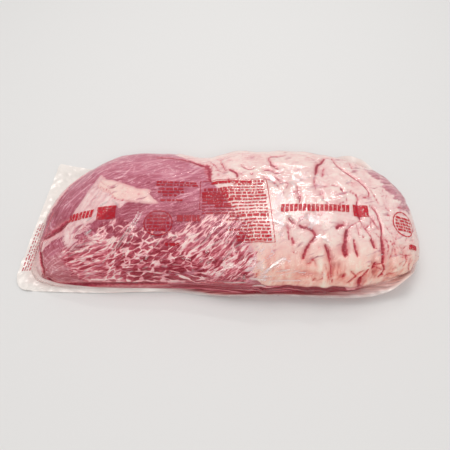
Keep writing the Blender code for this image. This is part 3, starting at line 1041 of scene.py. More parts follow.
def times(tree, first, *others):
    """The product of some values."""
    for other in others:
        first = maths(tree, "MULTIPLY", first, other)
    return first


def weighted(tree, start, *terms):
    """A starting value plus others, each times its weight."""
    for value, weight in terms:
        start = node(tree, "Math", {0: value, 1: weight, 2: start}, operation="MULTIPLY_ADD")
    return start


def swing(tree, noise, weight):
    """Noise turned to run about from -weight/4 to weight/4."""
    return weighted(tree, -0.5 * weight, (noise, weight))


def ramp(tree, value, stops):
    """Turns a value from 0 to 1 into a colour through a few stops."""
    made = tree.nodes.new("ShaderNodeValToRGB")
    tree.links.new(value, made.inputs[0])
    first, last = made.color_ramp.elements
    first.position, first.color = stops[0]
    last.position, last.color = stops[-1]
    for place, colour in stops[1:-1]:
        made.color_ramp.elements.new(place).color = colour
    return made.outputs["Color"]


def tinted(tree, where, value, first, second):
    """One value through two colour ramps: the first, and the second as far as a stored value says."""
    return blend(tree, painted(tree, where), ramp(tree, value, first), ramp(tree, value, second))


def fade(tree, amount, under, over):
    """Goes from one value to another by an amount from 0 to 1."""
    return node(tree, "Mix", {0: amount, 2: under, 3: over})


def warped(tree, skin, size, push):
    """The skin map, pushed about by noise so that no pattern on it runs straight."""
    inputs = {"Vector": stretched(tree, skin, size, size), "Scale": 1.0, "Detail": 1.5}
    noise = node(tree, "TexNoise", inputs, output="Color")
    centred = node(tree, "VectorMath", {0: noise, 1: (0.5, 0.5, 0.5)}, operation="SUBTRACT")
    pushed = node(tree, "VectorMath", {0: centred, "Scale": push}, operation="SCALE")
    return node(tree, "VectorMath", {0: skin, 1: pushed})


def thin_line(tree, noise, middle, width):
    """1 along the contour where noise passes its middle value, and 0 away from it."""
    gap = maths(tree, "ABSOLUTE", maths(tree, "SUBTRACT", noise, middle))
    return less(tree, step_up(tree, gap, 0.2 * width, width))


# %% [markdown]
# Two recipes make all the marbling. Voronoi cells give a net round dark islands, and stretched
# noise gives long strands that taper at their ends. Only size, direction and region differ. A
# painted picture could do it, but it would blur close up and show its seams.


# %% Values of the lean and of each kind of marbling
def lean_value(tree, skin, fibre):
    """Broad dark and pale areas, soft fibres, and thin pale flecks along them."""
    broad = cloudy(tree, skin, 32, 18, 20)
    strands = cloudy(tree, fibre, 20, 2.3, detail=5, roughness=0.65)
    flecks = cloudy(tree, fibre, 9, 2.6, detail=4, roughness=0.65)
    fleck = thin_line(tree, flecks, 0.56, 0.05)
    here = step_up(tree, cloudy(tree, skin, 13, 8, 20, detail=2), 0.42, 0.60)
    value = weighted(tree, -0.52, (painted(tree, "pale"), 0.31), (broad, 0.7), (strands, 1.0))
    return weighted(tree, value, (times(tree, fleck, here), 0.42), (painted(tree, "thread"), 0.55))


def net_value(tree, where, length, width, turn, thickest):
    """A broken net of fat round cells of length by width mm. Its lines swell and fade by noise."""
    inputs = {"Vector": stretched(tree, where, length, width, turn), "Scale": 1.0, "Randomness": 1.0}
    edge = node(tree, "TexVoronoi", inputs, feature="DISTANCE_TO_EDGE")
    patchy = cloudy(tree, where, 13, 8, turn, detail=2)
    local = times(tree, maths(tree, "SUBTRACT", patchy, 0.46), thickest)
    return less(tree, step_up(tree, maths(tree, "SUBTRACT", edge, local), 0.0, 0.085))


def strand_value(tree, where, length, width, turn, contrast, middle):
    """Long tapering strands, some dark and some white."""
    field = cloudy(tree, where, length, width, turn)
    return weighted(tree, 0.5 - middle * contrast, (field, contrast))


def veined_value(tree, where, length, width, turn, thin, middle=0.25, contrast=2.5):
    """Dark bars parted by thin bright veins, which run where one noise passes its middle."""
    field = cloudy(tree, where, length, width, turn, detail=2)
    veins = thin_line(tree, field, 0.5, thin)
    body = cloudy(tree, where, length, 0.7 * width, turn)
    return weighted(tree, middle - 0.5 * contrast, (body, contrast), (veins, 0.32 * contrast))


def marbling_value(tree, skin, swept):
    """Picks the pattern of each region and lets the placed spots and threads steer it."""
    bent = warped(tree, skin, 9, 4.5)
    value = net_value(tree, bent, 10.5, 5.6, 44, 0.6)
    value = fade(tree, painted(tree, "islands"), value, net_value(tree, bent, 15, 8.5, -4, 0.66))
    streaky = veined_value(tree, bent, 24, 7.5, 14, 0.05, middle=0.32, contrast=2.3)
    value = fade(tree, painted(tree, "streaks"), value, streaky)
    value = fade(tree, painted(tree, "bands"), value, veined_value(tree, swept, 24, 5.6, 50, 0.075))
    fine = cloudy(tree, bent, 6, 1.5, 45)
    flat = cloudy(tree, bent, 8, 1.6, 12)
    lying = maths(tree, "MAXIMUM", painted(tree, "streaks"), times(tree, painted(tree, "islands"), 0.6))
    fine = fade(tree, lying, fine, flat)
    broad = cloudy(tree, skin, 9, 6, 35, detail=2)
    value = weighted(tree, -0.66, (value, 0.66), (fine, 1.1), (broad, 0.6), (painted(tree, "guide"), 0.22))
    return weighted(tree, value, (painted(tree, "thread"), 0.6))


# %% [markdown]
# Fat is not one white either. It gets the same treatment with finer marks: blush, streaks that
# run down the front, thin veins, and short flecks where small vessels end. The ridges of its lobes
# are also painted paler and their hollows darker: painted light and shade.


# %% Values of the fat
def fat_value(tree, skin, bent):
    """Blush, fine mottling, thin veins, and painted light and shade that follow the lobes."""
    blush = cloudy(tree, bent, 22, 12, 20)
    mottle = cloudy(tree, bent, 5, 3.5, detail=4)
    vein = thin_line(tree, cloudy(tree, bent, 16, 9, 60), 0.47, 0.012)
    here = step_up(tree, cloudy(tree, skin, 20, 20, detail=1), 0.46, 0.6)
    value = weighted(tree, -0.41, (blush, 1.1), (mottle, 0.9), (painted(tree, "swell"), 0.16))
    return weighted(tree, value, (times(tree, vein, here), -0.45), (painted(tree, "flush"), -0.3))


def front_value(tree, bent):
    """Streaks down the front slope, cloudy mottling, and painted light and shade that follow the lobes."""
    drape = cloudy(tree, bent, 26, 4.5, 84)
    mottle = cloudy(tree, bent, 9, 5, 70, detail=4)
    value = weighted(tree, -0.30, (drape, 1.0), (mottle, 0.75), (painted(tree, "swell"), 0.36))
    return weighted(tree, value, (painted(tree, "flush"), -0.25), (painted(tree, "blush"), -0.32))


def with_flecks(tree, colour, skin):
    """Adds short, thin, brownish pink marks here and there."""
    marks = cloudy(tree, skin, 2.6, 1.1, 70, detail=1)
    here = step_up(tree, cloudy(tree, skin, 13, 13, detail=2), 0.48, 0.62)
    return blend(tree, times(tree, step_up(tree, marks, 0.66, 0.74), here, 0.75), colour, FLECK_PINK)


# %% Colours of the lean and the marbling
SMALL_BENDS = (9, 5.0)  # the size of the bends in mm, and how far they push
BROAD_BENDS = (22, 7.0)
REGION_CUT = (0.25, 0.75)
REGION_TEAR = 1.6


def lean_colour(tree, skin, fibre):
    """Plain lean, a little warmer low on the front."""
    return tinted(tree, "low", lean_value(tree, skin, fibre), LEAN_TONES, LOW_LEAN_TONES)


def with_marbling(tree, colour, skin, swept):
    """Lays the marbling over the lean in its regions, whose edges are torn by noise."""
    marbling = tinted(tree, "low", marbling_value(tree, skin, swept), UPPER_MARBLING, LOWER_MARBLING)
    presence = painted(tree, "net")
    for name in ("bands", "streaks", "islands", "guided"):
        presence = maths(tree, "MAXIMUM", presence, painted(tree, name))
    torn = swing(tree, cloudy(tree, skin, 9, 5, 40), REGION_TEAR)
    presence = step_up(tree, maths(tree, "ADD", presence, torn), *REGION_CUT)
    return blend(tree, presence, colour, marbling)


def with_shoulder_lean(tree, colour, skin, bent):
    """Streaks of lean that show through the thin cap at the far right shoulder."""
    shown = swing(tree, cloudy(tree, bent, 26, 4.4, 24, detail=4), 3.4)
    gaps = swing(tree, cloudy(tree, skin, 16, 10, 30, detail=2), 3.0)
    shown = weighted(tree, shown, (gaps, 1.0), (painted(tree, "shoulder"), 1.3))
    shown = times(tree, step_up(tree, shown, 0.3, 1.1), 0.85)
    streaky = strand_value(tree, bent, 24, 3.4, 24, contrast=2.0, middle=0.45)
    return blend(tree, shown, colour, ramp(tree, streaky, LEAN_TONES))


def with_under_lean(tree, colour, skin):
    """Long level strands on the edge that rolls under the near side."""
    strands = strand_value(tree, skin, 55, 1.8, 0, contrast=3.4, middle=0.62)
    return blend(tree, painted(tree, "under_roll"), colour, ramp(tree, strands, LOWER_MARBLING))


# %% Colours of the fat
FLAP_CUT = (-0.6, 0.8)  # in mm in from the flap's outline
FLAP_EDGE = (0.1, 1.3)
THIN_RIM = (0.3, 4.5)
FAT_CUT = (-0.8, 0.8)
CAP_CUT = (-1.5, 1.5)
EDGE_RAGS = 9.0  # how far noise moves the fat's edge, in mm, from end to end of its swing
EDGE_FINGERS = 46.0
EDGE_WISPS = 22.0


def torn_fat_colour(tree, skin, bent, mottling):
    """The torn patches: thin fibrous fat with a pink rim, and the thicker flap over it."""
    fibrous = weighted(tree, -0.50, (cloudy(tree, bent, 24, 4, 62), 1.3), (mottling, 0.7))
    on_flap = step_up(tree, painted(tree, "flap"), *FLAP_CUT)
    colour = blend(tree, on_flap, ramp(tree, fibrous, LOBE_TONES), ramp(tree, mottling, FLAP_TONES))
    from_edge = maths(tree, "ABSOLUTE", painted(tree, "flap"))
    from_edge = weighted(tree, swing(tree, cloudy(tree, skin, 3, 3), 2.4), (from_edge, 1.0))
    flap_edge = less(tree, step_up(tree, from_edge, *FLAP_EDGE))
    colour = blend(tree, times(tree, flap_edge, 0.5), colour, HALO_PINK)
    rim = less(tree, step_up(tree, painted(tree, "fat"), *THIN_RIM))
    return blend(tree, times(tree, rim, 0.5), colour, THIN_FAT)


def cap_fat_colour(tree, bent, mottling):
    """The cap: white and pink on top, warmer and streaked down the front."""
    front = ramp(tree, front_value(tree, bent), FRONT_TONES)
    return blend(tree, painted(tree, "warmth"), ramp(tree, mottling, CAP_TONES), front)


def fat_presence(tree, skin, bent, swept, on_cap):
    """1 on fat and 0 on lean. By place the edge is ragged, fingered or drawn out in wisps."""
    rags = swing(tree, cloudy(tree, skin, 8, 5, 20, detail=5, roughness=0.65), EDGE_RAGS)
    rags = times(tree, rags, weighted(tree, 0.6, (on_cap, 0.4)))
    fingers = swing(tree, cloudy(tree, swept, 20, 3.0, 50), EDGE_FINGERS)
    fingers = times(tree, fingers, painted(tree, "bands"))
    wisps = swing(tree, cloudy(tree, bent, 12, 2.0, 32), EDGE_WISPS)
    wisps = times(tree, wisps, painted(tree, "feather"))
    edge = weighted(tree, rags, (painted(tree, "fat"), 1.0), (fingers, 1.0), (wisps, 1.0))
    return step_up(tree, edge, *FAT_CUT)


def with_fat(tree, colour, skin, bent, swept):
    """Lays the torn patches and the cap over the lean."""
    mottling = fat_value(tree, skin, bent)
    on_cap = step_up(tree, painted(tree, "cap"), *CAP_CUT)
    torn = torn_fat_colour(tree, skin, bent, mottling)
    fat = blend(tree, on_cap, torn, cap_fat_colour(tree, bent, mottling))
    fat = with_flecks(tree, fat, skin)
    return blend(tree, fat_presence(tree, skin, bent, swept, on_cap), colour, fat)


# %% Colours of the folds and seams
FOLD_CUT = (0.10, 0.48)
SEAM_CUT = (0.1, 0.6)
HALO_CUT = (0.15, 1.0)


def with_folds(tree, colour, skin, wander):
    """Red folds of uneven strength in a pink halo."""
    halo = times(tree, step_up(tree, painted(tree, "flush"), *HALO_CUT), 0.6)
    colour = blend(tree, halo, colour, HALO_PINK)
    uneven = weighted(tree, -0.25, (cloudy(tree, skin, 5, 5), 2.5))
    drawn = times(tree, painted(tree, "groove"), uneven)
    amount = weighted(tree, times(tree, wander, 0.7), (drawn, 1.0))
    fold_colour = tinted(tree, "warmth", amount, CAP_FOLD_TONES, FRONT_FOLD_TONES)
    return blend(tree, step_up(tree, amount, *FOLD_CUT), colour, fold_colour)


def with_seams(tree, colour, skin, wander):
    """Dark red seams between the muscles, broken by noise."""
    uneven = weighted(tree, 0.5, (cloudy(tree, skin, 9, 9, detail=2), 1.0))
    drawn = times(tree, painted(tree, "seam"), uneven)
    amount = weighted(tree, wander, (drawn, 1.0))
    return blend(tree, step_up(tree, amount, *SEAM_CUT), colour, ramp(tree, amount, SEAM_TONES))


# %% [markdown]
# The tissues are now laid over each other as they lie in the cut: plain lean, its marbling, the
# fat, lean that shows through thin fat, folds and seams. It could be several materials on
# separate faces, but their borders would follow the mesh. In one material every border is a
# ragged line that noise draws. A little subsurface light softens the whole, as in real meat.

# %% Compose the meat's material
MEAT_ROUGHNESS = 0.5
MEAT_GLOSS = 0.12
GRAIN_HEIGHT = 0.4 * MM
LIGHT_DEPTH = 1.5 * MM  # how far light spreads inside the meat, red the furthest
LIGHT_REACH = (1.0, 0.35, 0.3)


def meat_material():
    """Lean, then marbling, fat, folds, seams and the under-lean, each laid over the last."""
    material, tree, output = new_material("raw_beef")
    skin = painted(tree, "skin", vector=True)
    fibre = painted(tree, "fibre", vector=True)
    bent = warped(tree, skin, *SMALL_BENDS)
    swept = warped(tree, skin, *BROAD_BENDS)
    wander = swing(tree, cloudy(tree, skin, 2.8, 2.8), 1.1)

    colour = lean_colour(tree, skin, fibre)
    colour = with_marbling(tree, colour, skin, swept)
    colour = with_fat(tree, colour, skin, bent, swept)
    colour = with_shoulder_lean(tree, colour, skin, bent)
    colour = with_folds(tree, colour, skin, wander)
    colour = with_seams(tree, colour, skin, wander)
    colour = with_under_lean(tree, colour, skin)

    grain = cloudy(tree, fibre, 5, 1.2)
    bump = node(tree, "Bump", {"Height": grain, "Strength": 0.3, "Distance": GRAIN_HEIGHT})
    surface = node(tree, "BsdfPrincipled", {
        "Base Color": colour, "Roughness": MEAT_ROUGHNESS, "Specular IOR Level": MEAT_GLOSS,
        "Normal": bump, "Subsurface Weight": 0.10, "Subsurface Radius": LIGHT_REACH,
        "Subsurface Scale": LIGHT_DEPTH,
    })
    tree.links.new(surface, output.inputs["Surface"])
    return material


meat.data.materials.append(meat_material())
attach(meat, "root")
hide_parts(BAG)
print("Meat painted with", len(meat.data.materials[0].node_tree.nodes), "nodes")

# %% [markdown]
# ## The film over the meat
#
# The bag has shrunk onto the meat, so its film follows the same relief, but it bridges the
# grooves and stands up in fine creases. It is modelled as its own thin skin on the same grid of
# points. That way it can never cut through the meat: wherever the meat stands higher, the film
# is lifted with it.

# %% A straight fold in the film, in skin mm
FOLD_LINE = (
    (-77, -18), (-81, -28), (-86, -37), (-92, -47), (-99, -58), (-105, -68), (-111, -78),
)
FOLD_LINE_APART = 3.2
second_fold = [(a + FOLD_LINE_APART, b) for a, b in FOLD_LINE]
print("A straight fold runs down the lean, doubled", FOLD_LINE_APART, "mm apart")

# %% Glints of the film, in skin mm
GLINTS = (
    (0.6, 1.0, ((-28, -59), (-20, -56), (-14, -51), (-9, -44), (-6, -37), (-1, -35))),
    (1.0, 0.9, ((-17, -61), (-11, -57), (-3, -53), (2, -50))),
    (0.6, 0.8, ((-7, -42), (-3, -37), (3, -31), (5, -29))),
    (0.5, 0.7, ((6, -46), (8, -40), (10, -33))),
    (0.5, 0.7, ((11, -48), (12, -40), (16, -34))),
    (0.6, 0.8, ((10, -61), (13, -53), (17, -48))),
    (0.7, 1.0, ((12, -61), (15, -57), (22, -53), (26, -48), (28, -42), (31, -34))),
    (0.8, 0.8, ((12, -60), (7, -68), (1, -73))),
    (0.8, 0.5, ((18, -72), (24, -65), (30, -61))),
    (1.2, 0.7, ((14, -80), (4, -83), (-1, -93), (-7, -100))),
    (1.3, 0.7, ((39, -101), (44, -85), (52, -77), (57, -70))),
    (1.0, 0.8, ((55, -88), (64, -85), (73, -88))),
    (0.8, 0.7, ((55, -27), (61, -24), (67, -21))),
    (0.8, 0.6, ((52, -32), (59, -34))),
    (0.8, 0.8, ((-125, -3), (-121, 5), (-118, 12))),
    (0.9, 0.8, ((-130, -35), (-126, -41), (-121, -46), (-115, -53))),
    (0.8, 0.8, ((-125, -45), (-118, -42), (-113, -40))),
    (0.8, 0.7, ((-140, -51), (-128, -49), (-120, -47))),
    (0.8, 0.8, ((-113, -53), (-107, -53), (-104, -48), (-99, -46))),
    (0.7, 0.6, ((-153, -59), (-142, -55), (-129, -54))),
    (0.7, 0.6, ((-149, -63), (-136, -58), (-123, -58))),
    (0.7, 0.6, ((-144, -70), (-131, -67), (-121, -66))),
)
print(len(GLINTS), "glints placed one by one")

# %% Painted highlights of the film: streaks, glares and sheens, in skin mm
# The white of the straight fold and of the level streaks on the front slope is a painted highlight.
HIGHLIGHT_STREAKS = (
    (0.6, 0.8, FOLD_LINE),
    (0.6, 0.65, second_fold[:5]),
    (2.2, 1.0, ((28, -101), (41, -101))),
    (1.6, 1.0, ((46, -104), (74, -103))),
    (1.3, 0.9, ((31, -114), (42, -114))),
    (1.0, 0.8, ((0, -108), (23, -107))),
    (1.1, 0.7, ((51, -88), (64, -85))),
    (1.1, 0.75, ((54, -93), (64, -90), (73, -87))),
    (1.1, 1.0, ((72, -90), (79, -90))),
    (2.2, 0.8, ((45, -85), (51, -77), (58, -70))),
    (1.4, 0.7, ((52, -82), (61, -70))),
)
GLARES = (
    (1.6, 1.0, ((49, 26), (55, 19))),
    (2.2, 1.0, ((72, 25), (81, 16))),
    (1.5, 0.9, ((75, 23), (82, 14), (88, 4))),
    (2.2, 0.9, ((69, 16), (74, 9))),
    (1.6, 0.8, ((55, 8), (62, -5))),
    (1.8, 1.0, ((79, -11), (83, -20))),
    (1.2, 0.9, ((86, -12), (89, -20))),
    (3.2, 1.0, ((84, -28), (92, -34))),
    (1.8, 0.8, ((62, -21), (70, -29))),
    (1.4, 0.9, ((43, -29), (52, -31), (61, -35))),
    (2.0, 0.9, ((88, -49), (94, -46), (101, -54))),
    (1.1, 0.8, ((44, -85), (52, -75), (60, -69))),
    (1.4, 0.8, ((96, -6), (106, -8))),
    (1.6, 0.9, ((-117, -8), (-109, -2))),
    (1.6, 0.8, ((-129, -24), (-124, -20), (-120, -17))),
    (1.8, 0.8, ((-130, -39), (-122, -33))),
    (1.4, 0.8, ((-105, -2), (-97, -10))),
    (1.0, 0.8, ((148, -67), (155, -65))),
)
SHEENS = (
    (57, -18, 62, 9, 88, 1.0), (84, 21, 28, 7, 10, 0.9), (83, 2, 12, 5, 20, 0.9),
    (87, -29, 18, 14, 0, 1.0), (98, -49, 10, 4, -30, 0.8), (124, 17, 14, 5, 35, 0.6),
    (67, -7, 14, 4, 90, 0.8), (28, -86, 30, 8, -15, 0.8), (39, -97, 22, 5, 90, 0.8),
    (60, -72, 10, 4, -35, 0.8), (50, -64, 11, 4, -30, 0.7), (60, 28, 40, 14, 30, 0.5),
    (36, -78, 42, 16, 75, 0.75), (47, -50, 30, 8, 80, 0.7), (40, -92, 20, 12, 80, 0.9),
)
# The streaks counted first are painted highlights.
print(len(HIGHLIGHT_STREAKS), "milky streaks,", len(GLARES), "glares and", len(SHEENS), "sheens")

# %% Draw the film's lines
FRONT_CREASES = 9  # long level creases where the film draws tight below the near side
FRONT_CREASE_WIDTH = 0.8
FRONT_CREASE_STARTS = (-70, 10)
FRONT_CREASE_TOP = -95
FRONT_CREASE_STEP = 3.1
FRONT_CREASE_LENGTHS = (90, 190)
WRINKLES = 90
WRINKLE_WIDTH = 0.55
WRINKLE_LEAN = math.radians(50)
WRINKLE_LENGTHS = (6, 22)
SMALL_GLINTS = 90
SMALL_GLINT_WIDTH = 0.6
SMALL_GLINT_LEAN = 0.9
SMALL_GLINT_LENGTHS = (2, 8)

creases = [(0.7, 0.12, FOLD_LINE), (0.7, 0.1, second_fold)]
for k in range(FRONT_CREASES):
    start = (chance.uniform(*FRONT_CREASE_STARTS), FRONT_CREASE_TOP - FRONT_CREASE_STEP * k)
    strength = chance.uniform(0.5, 1.0)
    course = wavy_line(start, chance.uniform(*FRONT_CREASE_LENGTHS), 0.0, 0.7)
    creases.append((FRONT_CREASE_WIDTH, strength, course))
for k in range(WRINKLES):
    start = (chance.uniform(-60, 170), chance.uniform(-100, 10))
    turn = chance.normal(WRINKLE_LEAN, 0.35)
    strength = chance.uniform(0.1, 0.45)
    course = wavy_line(start, chance.uniform(*WRINKLE_LENGTHS), turn, 0.8)
    creases.append((WRINKLE_WIDTH, strength, course))
crease_line = lines(creases)
glints = list(GLINTS)
for k in range(SMALL_GLINTS):
    start = (chance.uniform(-135, 45), chance.uniform(-108, -42))
    strength = chance.uniform(0.6, 1.0)
    length = chance.uniform(*SMALL_GLINT_LENGTHS)
    turn = chance.normal(SMALL_GLINT_LEAN, 0.4)
    glints.append((SMALL_GLINT_WIDTH, strength, wavy_line(start, length, turn, 0.6)))
glint_line = lines(glints)
glare_line = lines(GLARES)
highlight_streak_line = lines(HIGHLIGHT_STREAKS)
sheen = spots(SHEENS)
print(len(creases), "creases and", len(glints), "glints in the film")

# %% Build the film
BRIDGE_HEIGHT = 15
BRIDGE_REACH = 4.0
BRIDGE_LEAST = 1.0
BRIDGED_GROOVE = 0.4
GROOVE_SPREAD = 1.5
LEAN_END_X = (-100, -180)
FAR_LEFT_X = (-20, -100)
FAR_LEFT_Y = (0, 40)
LEAST_FILM_HEIGHT = 0.05
BRIDGE_HAZE = (1.2, 5)
CREASE_HEIGHT = 0.45
BRIDGE_MILK = 0.4  # how white each kind of place is made: hazy film where it bridges, painted highlights on glints and streaks, and on creases partly both
CREASE_HAZE_AND_HIGHLIGHT = 0.15
GLINT_HIGHLIGHT = 0.62
STREAK_HIGHLIGHT = 0.9
# A broad patch where the cap's film is painted paler: a painted sheen.
CAP_PAINTED_SHEEN = ((58, 40, 4, 40, 0.15),)
CAP_SHINE_U = (20, 55)  # the cap's film shines most, because it lies smooth on hard fat
CAP_SHINE_V = (-85, -50)

soft_groove = np.maximum(lines(SEAMS, spread=GROOVE_SPREAD), lines(folds, spread=GROOVE_SPREAD))
film_relief = seam_fade * (soft_relief - BRIDGED_GROOVE * GROOVE_DEPTH * soft_groove)
film_relief = np.maximum(film_relief, meat_relief)
raised = np.maximum(crease_line, 0.2 * glint_line + 0.6 * glare_line)
film_relief = film_relief + CREASE_HEIGHT * raised * seam_fade

outward = normals[..., :2] / (np.linalg.norm(normals[..., :2], axis=-1, keepdims=True) + 1e-9)
above_seam = slab[..., 2] - crease_height(slab_x)
low_on_side = np.clip(1 - above_seam / BRIDGE_HEIGHT, 0, 1) ** 2
lean_end = smooth_step(*LEAN_END_X, slab[..., 0])
far_left = smooth_step(*FAR_LEFT_Y, slab[..., 1]) * smooth_step(*FAR_LEFT_X, slab[..., 0])
bridge = BRIDGE_LEAST + BRIDGE_REACH * np.maximum(lean_end, 0.8 * far_left)
bridge = bridge * low_on_side * (angles <= np.pi)

film_points = slab + normals * film_relief[..., None]
film_points[..., :2] += outward * bridge[..., None]
film_points[..., 2] = np.maximum(film_points[..., 2], LEAST_FILM_HEIGHT)
# Hazy film where it bridges the grooves, and painted highlights: creases, glints and streaks are made whiter,
# and the cap gets a broad painted sheen.
haze_and_highlights = BRIDGE_MILK * smooth_step(*BRIDGE_HAZE, bridge) + CREASE_HAZE_AND_HIGHLIGHT * crease_line
haze_and_highlights = haze_and_highlights + GLINT_HIGHLIGHT * glint_line + STREAK_HIGHLIGHT * highlight_streak_line + hills(CAP_PAINTED_SHEEN, u, v) * (1 - below)
shine = smooth_step(*CAP_SHINE_U, u) * smooth_step(*CAP_SHINE_V, v)
film = skin_mesh("film", film_points, {
    "skin": skin_map, "haze_and_highlights": haze_and_highlights, "sheen": sheen, "glint": glint_line, "glare": glare_line,
    "juice": 0 * haze_and_highlights, "shine": shine,
})
print("Film has", len(film.data.polygons), "faces")

# %% [markdown]
# ## The look of clear film
#
# Clear film is seen by what it mirrors: little when looked at squarely, much when looked along,
# and most on its creases. Real glass would have to be traced through, which is slow and noisy.
# Mixing a clear shader with a glossy white one does the same job. The share of the glossy one
# grows by Layer Weight towards grazing angles, and with the stored haze and highlights. Where
# film is milky, it scatters light like thin paper. The same white is also laid on creases, glints,
# streaks, glares and sheens as painted highlights, beside what the film really mirrors there.
# Where it is clear, it only mirrors, so its gloss is metallic: a metal has no colour of its own
# below the reflection that could veil the meat.

# %% Share and colour of the film
SHEEN_PINK = tone(254, 234, 234)
JUICE_TONES = ((0.0, tone(122, 34, 44)), (0.5, tone(186, 92, 94)), (1.0, tone(240, 176, 168)))
EDGE_BLEND = 0.35
EDGE_POWER = 3.0
EDGE_SHARE = 0.7
SHEEN_PATCH_SHARE = 0.5
GLARE_SHARE = 0.7
JUICE_SHARE = 0.75
SHINE_SHARE = 0.045
MOST_SHARE = 0.92


def painted_sheen_patches(tree, skin):
    """Painted sheen: pale patches with torn edges inside the placed sheens, as if the film mirrored lamps."""
    sheen = painted(tree, "sheen")
    torn = weighted(tree, -0.62, (cloudy(tree, skin, 9, 5, 40, detail=2), 1.6), (sheen, 0.45))
    return times(tree, step_up(tree, torn, 0.42, 0.62), step_up(tree, sheen, 0.05, 0.35))


def broken_glares(tree, skin):
    """The placed glares, broken up as a lamp's reflection is on crinkled film."""
    broken = step_up(tree, cloudy(tree, skin, 4, 2.5, 45), 0.38, 0.56)
    return times(tree, step_up(tree, painted(tree, "glare"), 0.25, 0.75), broken)


def fine_streaks(tree, skin):
    """Faint slanted streaks of stretched film, here and there."""
    streak = cloudy(tree, skin, 14, 1.3, 38, detail=4)
    here = step_up(tree, cloudy(tree, skin, 30, 22, detail=2), 0.5, 0.7)
    return times(tree, step_up(tree, streak, 0.58, 0.70), 0.12, here)


def film_share(tree, skin, sheen_patch, glare, least, milk):
    """How much of what lies below the film hides, from 0 for all clear."""
    facing = node(tree, "LayerWeight", {"Blend": EDGE_BLEND}, output="Facing")
    rim = maths(tree, "POWER", facing, EDGE_POWER)
    share = weighted(tree, least, (painted(tree, "haze_and_highlights"), milk), (rim, EDGE_SHARE))
    share = weighted(tree, share, (fine_streaks(tree, skin), 1.0), (sheen_patch, SHEEN_PATCH_SHARE))
    share = weighted(tree, share, (glare, GLARE_SHARE), (painted(tree, "juice"), JUICE_SHARE))
    share = weighted(tree, share, (painted(tree, "shine"), SHINE_SHARE))
    return node(tree, "Clamp", {"Value": share, "Min": 0.0, "Max": MOST_SHARE})


def film_colour(tree, skin, sheen_patch, juice, white, cloud):
    """White, milky on hazy film and on painted highlights, pale pink in painted sheens, red with juice."""
    colour = blend(tree, step_up(tree, painted(tree, "haze_and_highlights"), 0.1, 0.5), white, cloud)
    colour = blend(tree, sheen_patch, colour, SHEEN_PINK)
    pooled = strand_value(tree, skin, 45, 1.6, 0, contrast=2.6, middle=0.5)
    wet = ramp(tree, weighted(tree, 0.25, (juice, -0.25), (pooled, 1.0)), JUICE_TONES)
    return blend(tree, juice, colour, wet)


def see_through(tree, output, share, gloss):
    """Shows a glossy surface by its share, and whatever is behind it by the rest."""
    clear = node(tree, "BsdfTransparent")
    mixed = node(tree, "MixShader", {0: share, 1: clear, 2: gloss})
    tree.links.new(mixed, output.inputs["Surface"])


# %% Film material
def film_material(name, white, cloud, least, milk, roughness):
    """Clear film. Least is its gloss seen squarely, milk how much hazy parts and painted highlights hide."""
    material, tree, output = new_material(name)
    skin = painted(tree, "skin", vector=True)
    juice = painted(tree, "juice")
    sheen_patch = painted_sheen_patches(tree, skin)
    glare = broken_glares(tree, skin)
    # The film is matte white, not a mirror, where it is hazy and where highlights and sheens are painted.
    milky = maths(tree, "MAXIMUM", step_up(tree, painted(tree, "haze_and_highlights"), 0.05, 0.3), sheen_patch)
    bare = times(tree, less(tree, milky), less(tree, juice))
    bright = weighted(tree, 0.1, (painted(tree, "glint"), 0.25), (glare, 0.35), (sheen_patch, 0.1))
    ripple = cloudy(tree, skin, 6, 2.0, 30)
    gloss = node(tree, "BsdfPrincipled", {
        "Base Color": film_colour(tree, skin, sheen_patch, juice, white, cloud),
        "Metallic": weighted(tree, bright, (bare, 0.7)),
        "Roughness": weighted(tree, roughness, (sheen_patch, 0.35), (glare, 0.2)),
        "Normal": node(tree, "Bump", {"Height": ripple, "Strength": 0.5, "Distance": 0.5 * MM}),
    })
    see_through(tree, output, film_share(tree, skin, sheen_patch, glare, least, milk), gloss)
    return material


CLING_WHITE = tone(255, 240, 238)
# The paler white is that of hazy film, and also the colour of the painted highlights.
CLING_HAZE_AND_HIGHLIGHT = tone(255, 234, 227)
film.data.materials.append(
    film_material("clear_film", CLING_WHITE, CLING_HAZE_AND_HIGHLIGHT, least=0.012, milk=0.8, roughness=0.08)
)
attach(film, "root")
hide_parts(BAG)
print("Film painted with", len(film.data.materials[0].node_tree.nodes), "nodes")

# %% [markdown]
# ## The flat tail and fin
#
# Where the bag is sealed, its two layers lie flat together: a wide tail at the lean end, and a
# narrow fin round the rest. Its outer edge follows the CAD fin. Each row of points runs from
# just inside the slab's side out to that edge, so the film can ripple and lift on its way.

# %% Edges of the fin, in mm, from the tail to the tip
FIN_NEAR_EDGE = (
    (-204, -46), (-198, -59), (-182, -63), (-120, -65), (-55, -64), (-15, -69),
    (10, -71.5), (50, -72), (110, -75), (150, -70), (178, -53), (192, -26),
)
FIN_FAR_EDGE = (
    (-191, 97), (-189.5, 100.5), (-184, 101), (-150, 95), (-95, 97), (-25, 92),
    (20, 95), (65, 99), (110, 99), (150, 88), (178, 56), (193, 10),
)
FIN_PLACES = 860
FIN_ROWS = 30
FIN_DROOP = 1.8
SPINE_ENDS = (-105, 110)  # rays to the fin's edge start from this line inside the slab
HALVINGS = 30  # each step halves the stretch of a ray in which the slab's side lies
TUCK = 1.5


def evenly(curve, count):
    """Points at equal steps along a closed curve."""
    gaps = np.hypot(*np.diff(curve, axis=0).T)
    travelled = np.concatenate([[0], np.cumsum(gaps)])
    wanted = np.linspace(0, travelled[-1], count, endpoint=False)
    return np.stack([np.interp(wanted, travelled, curve[:, k]) for k in (0, 1)], axis=-1)


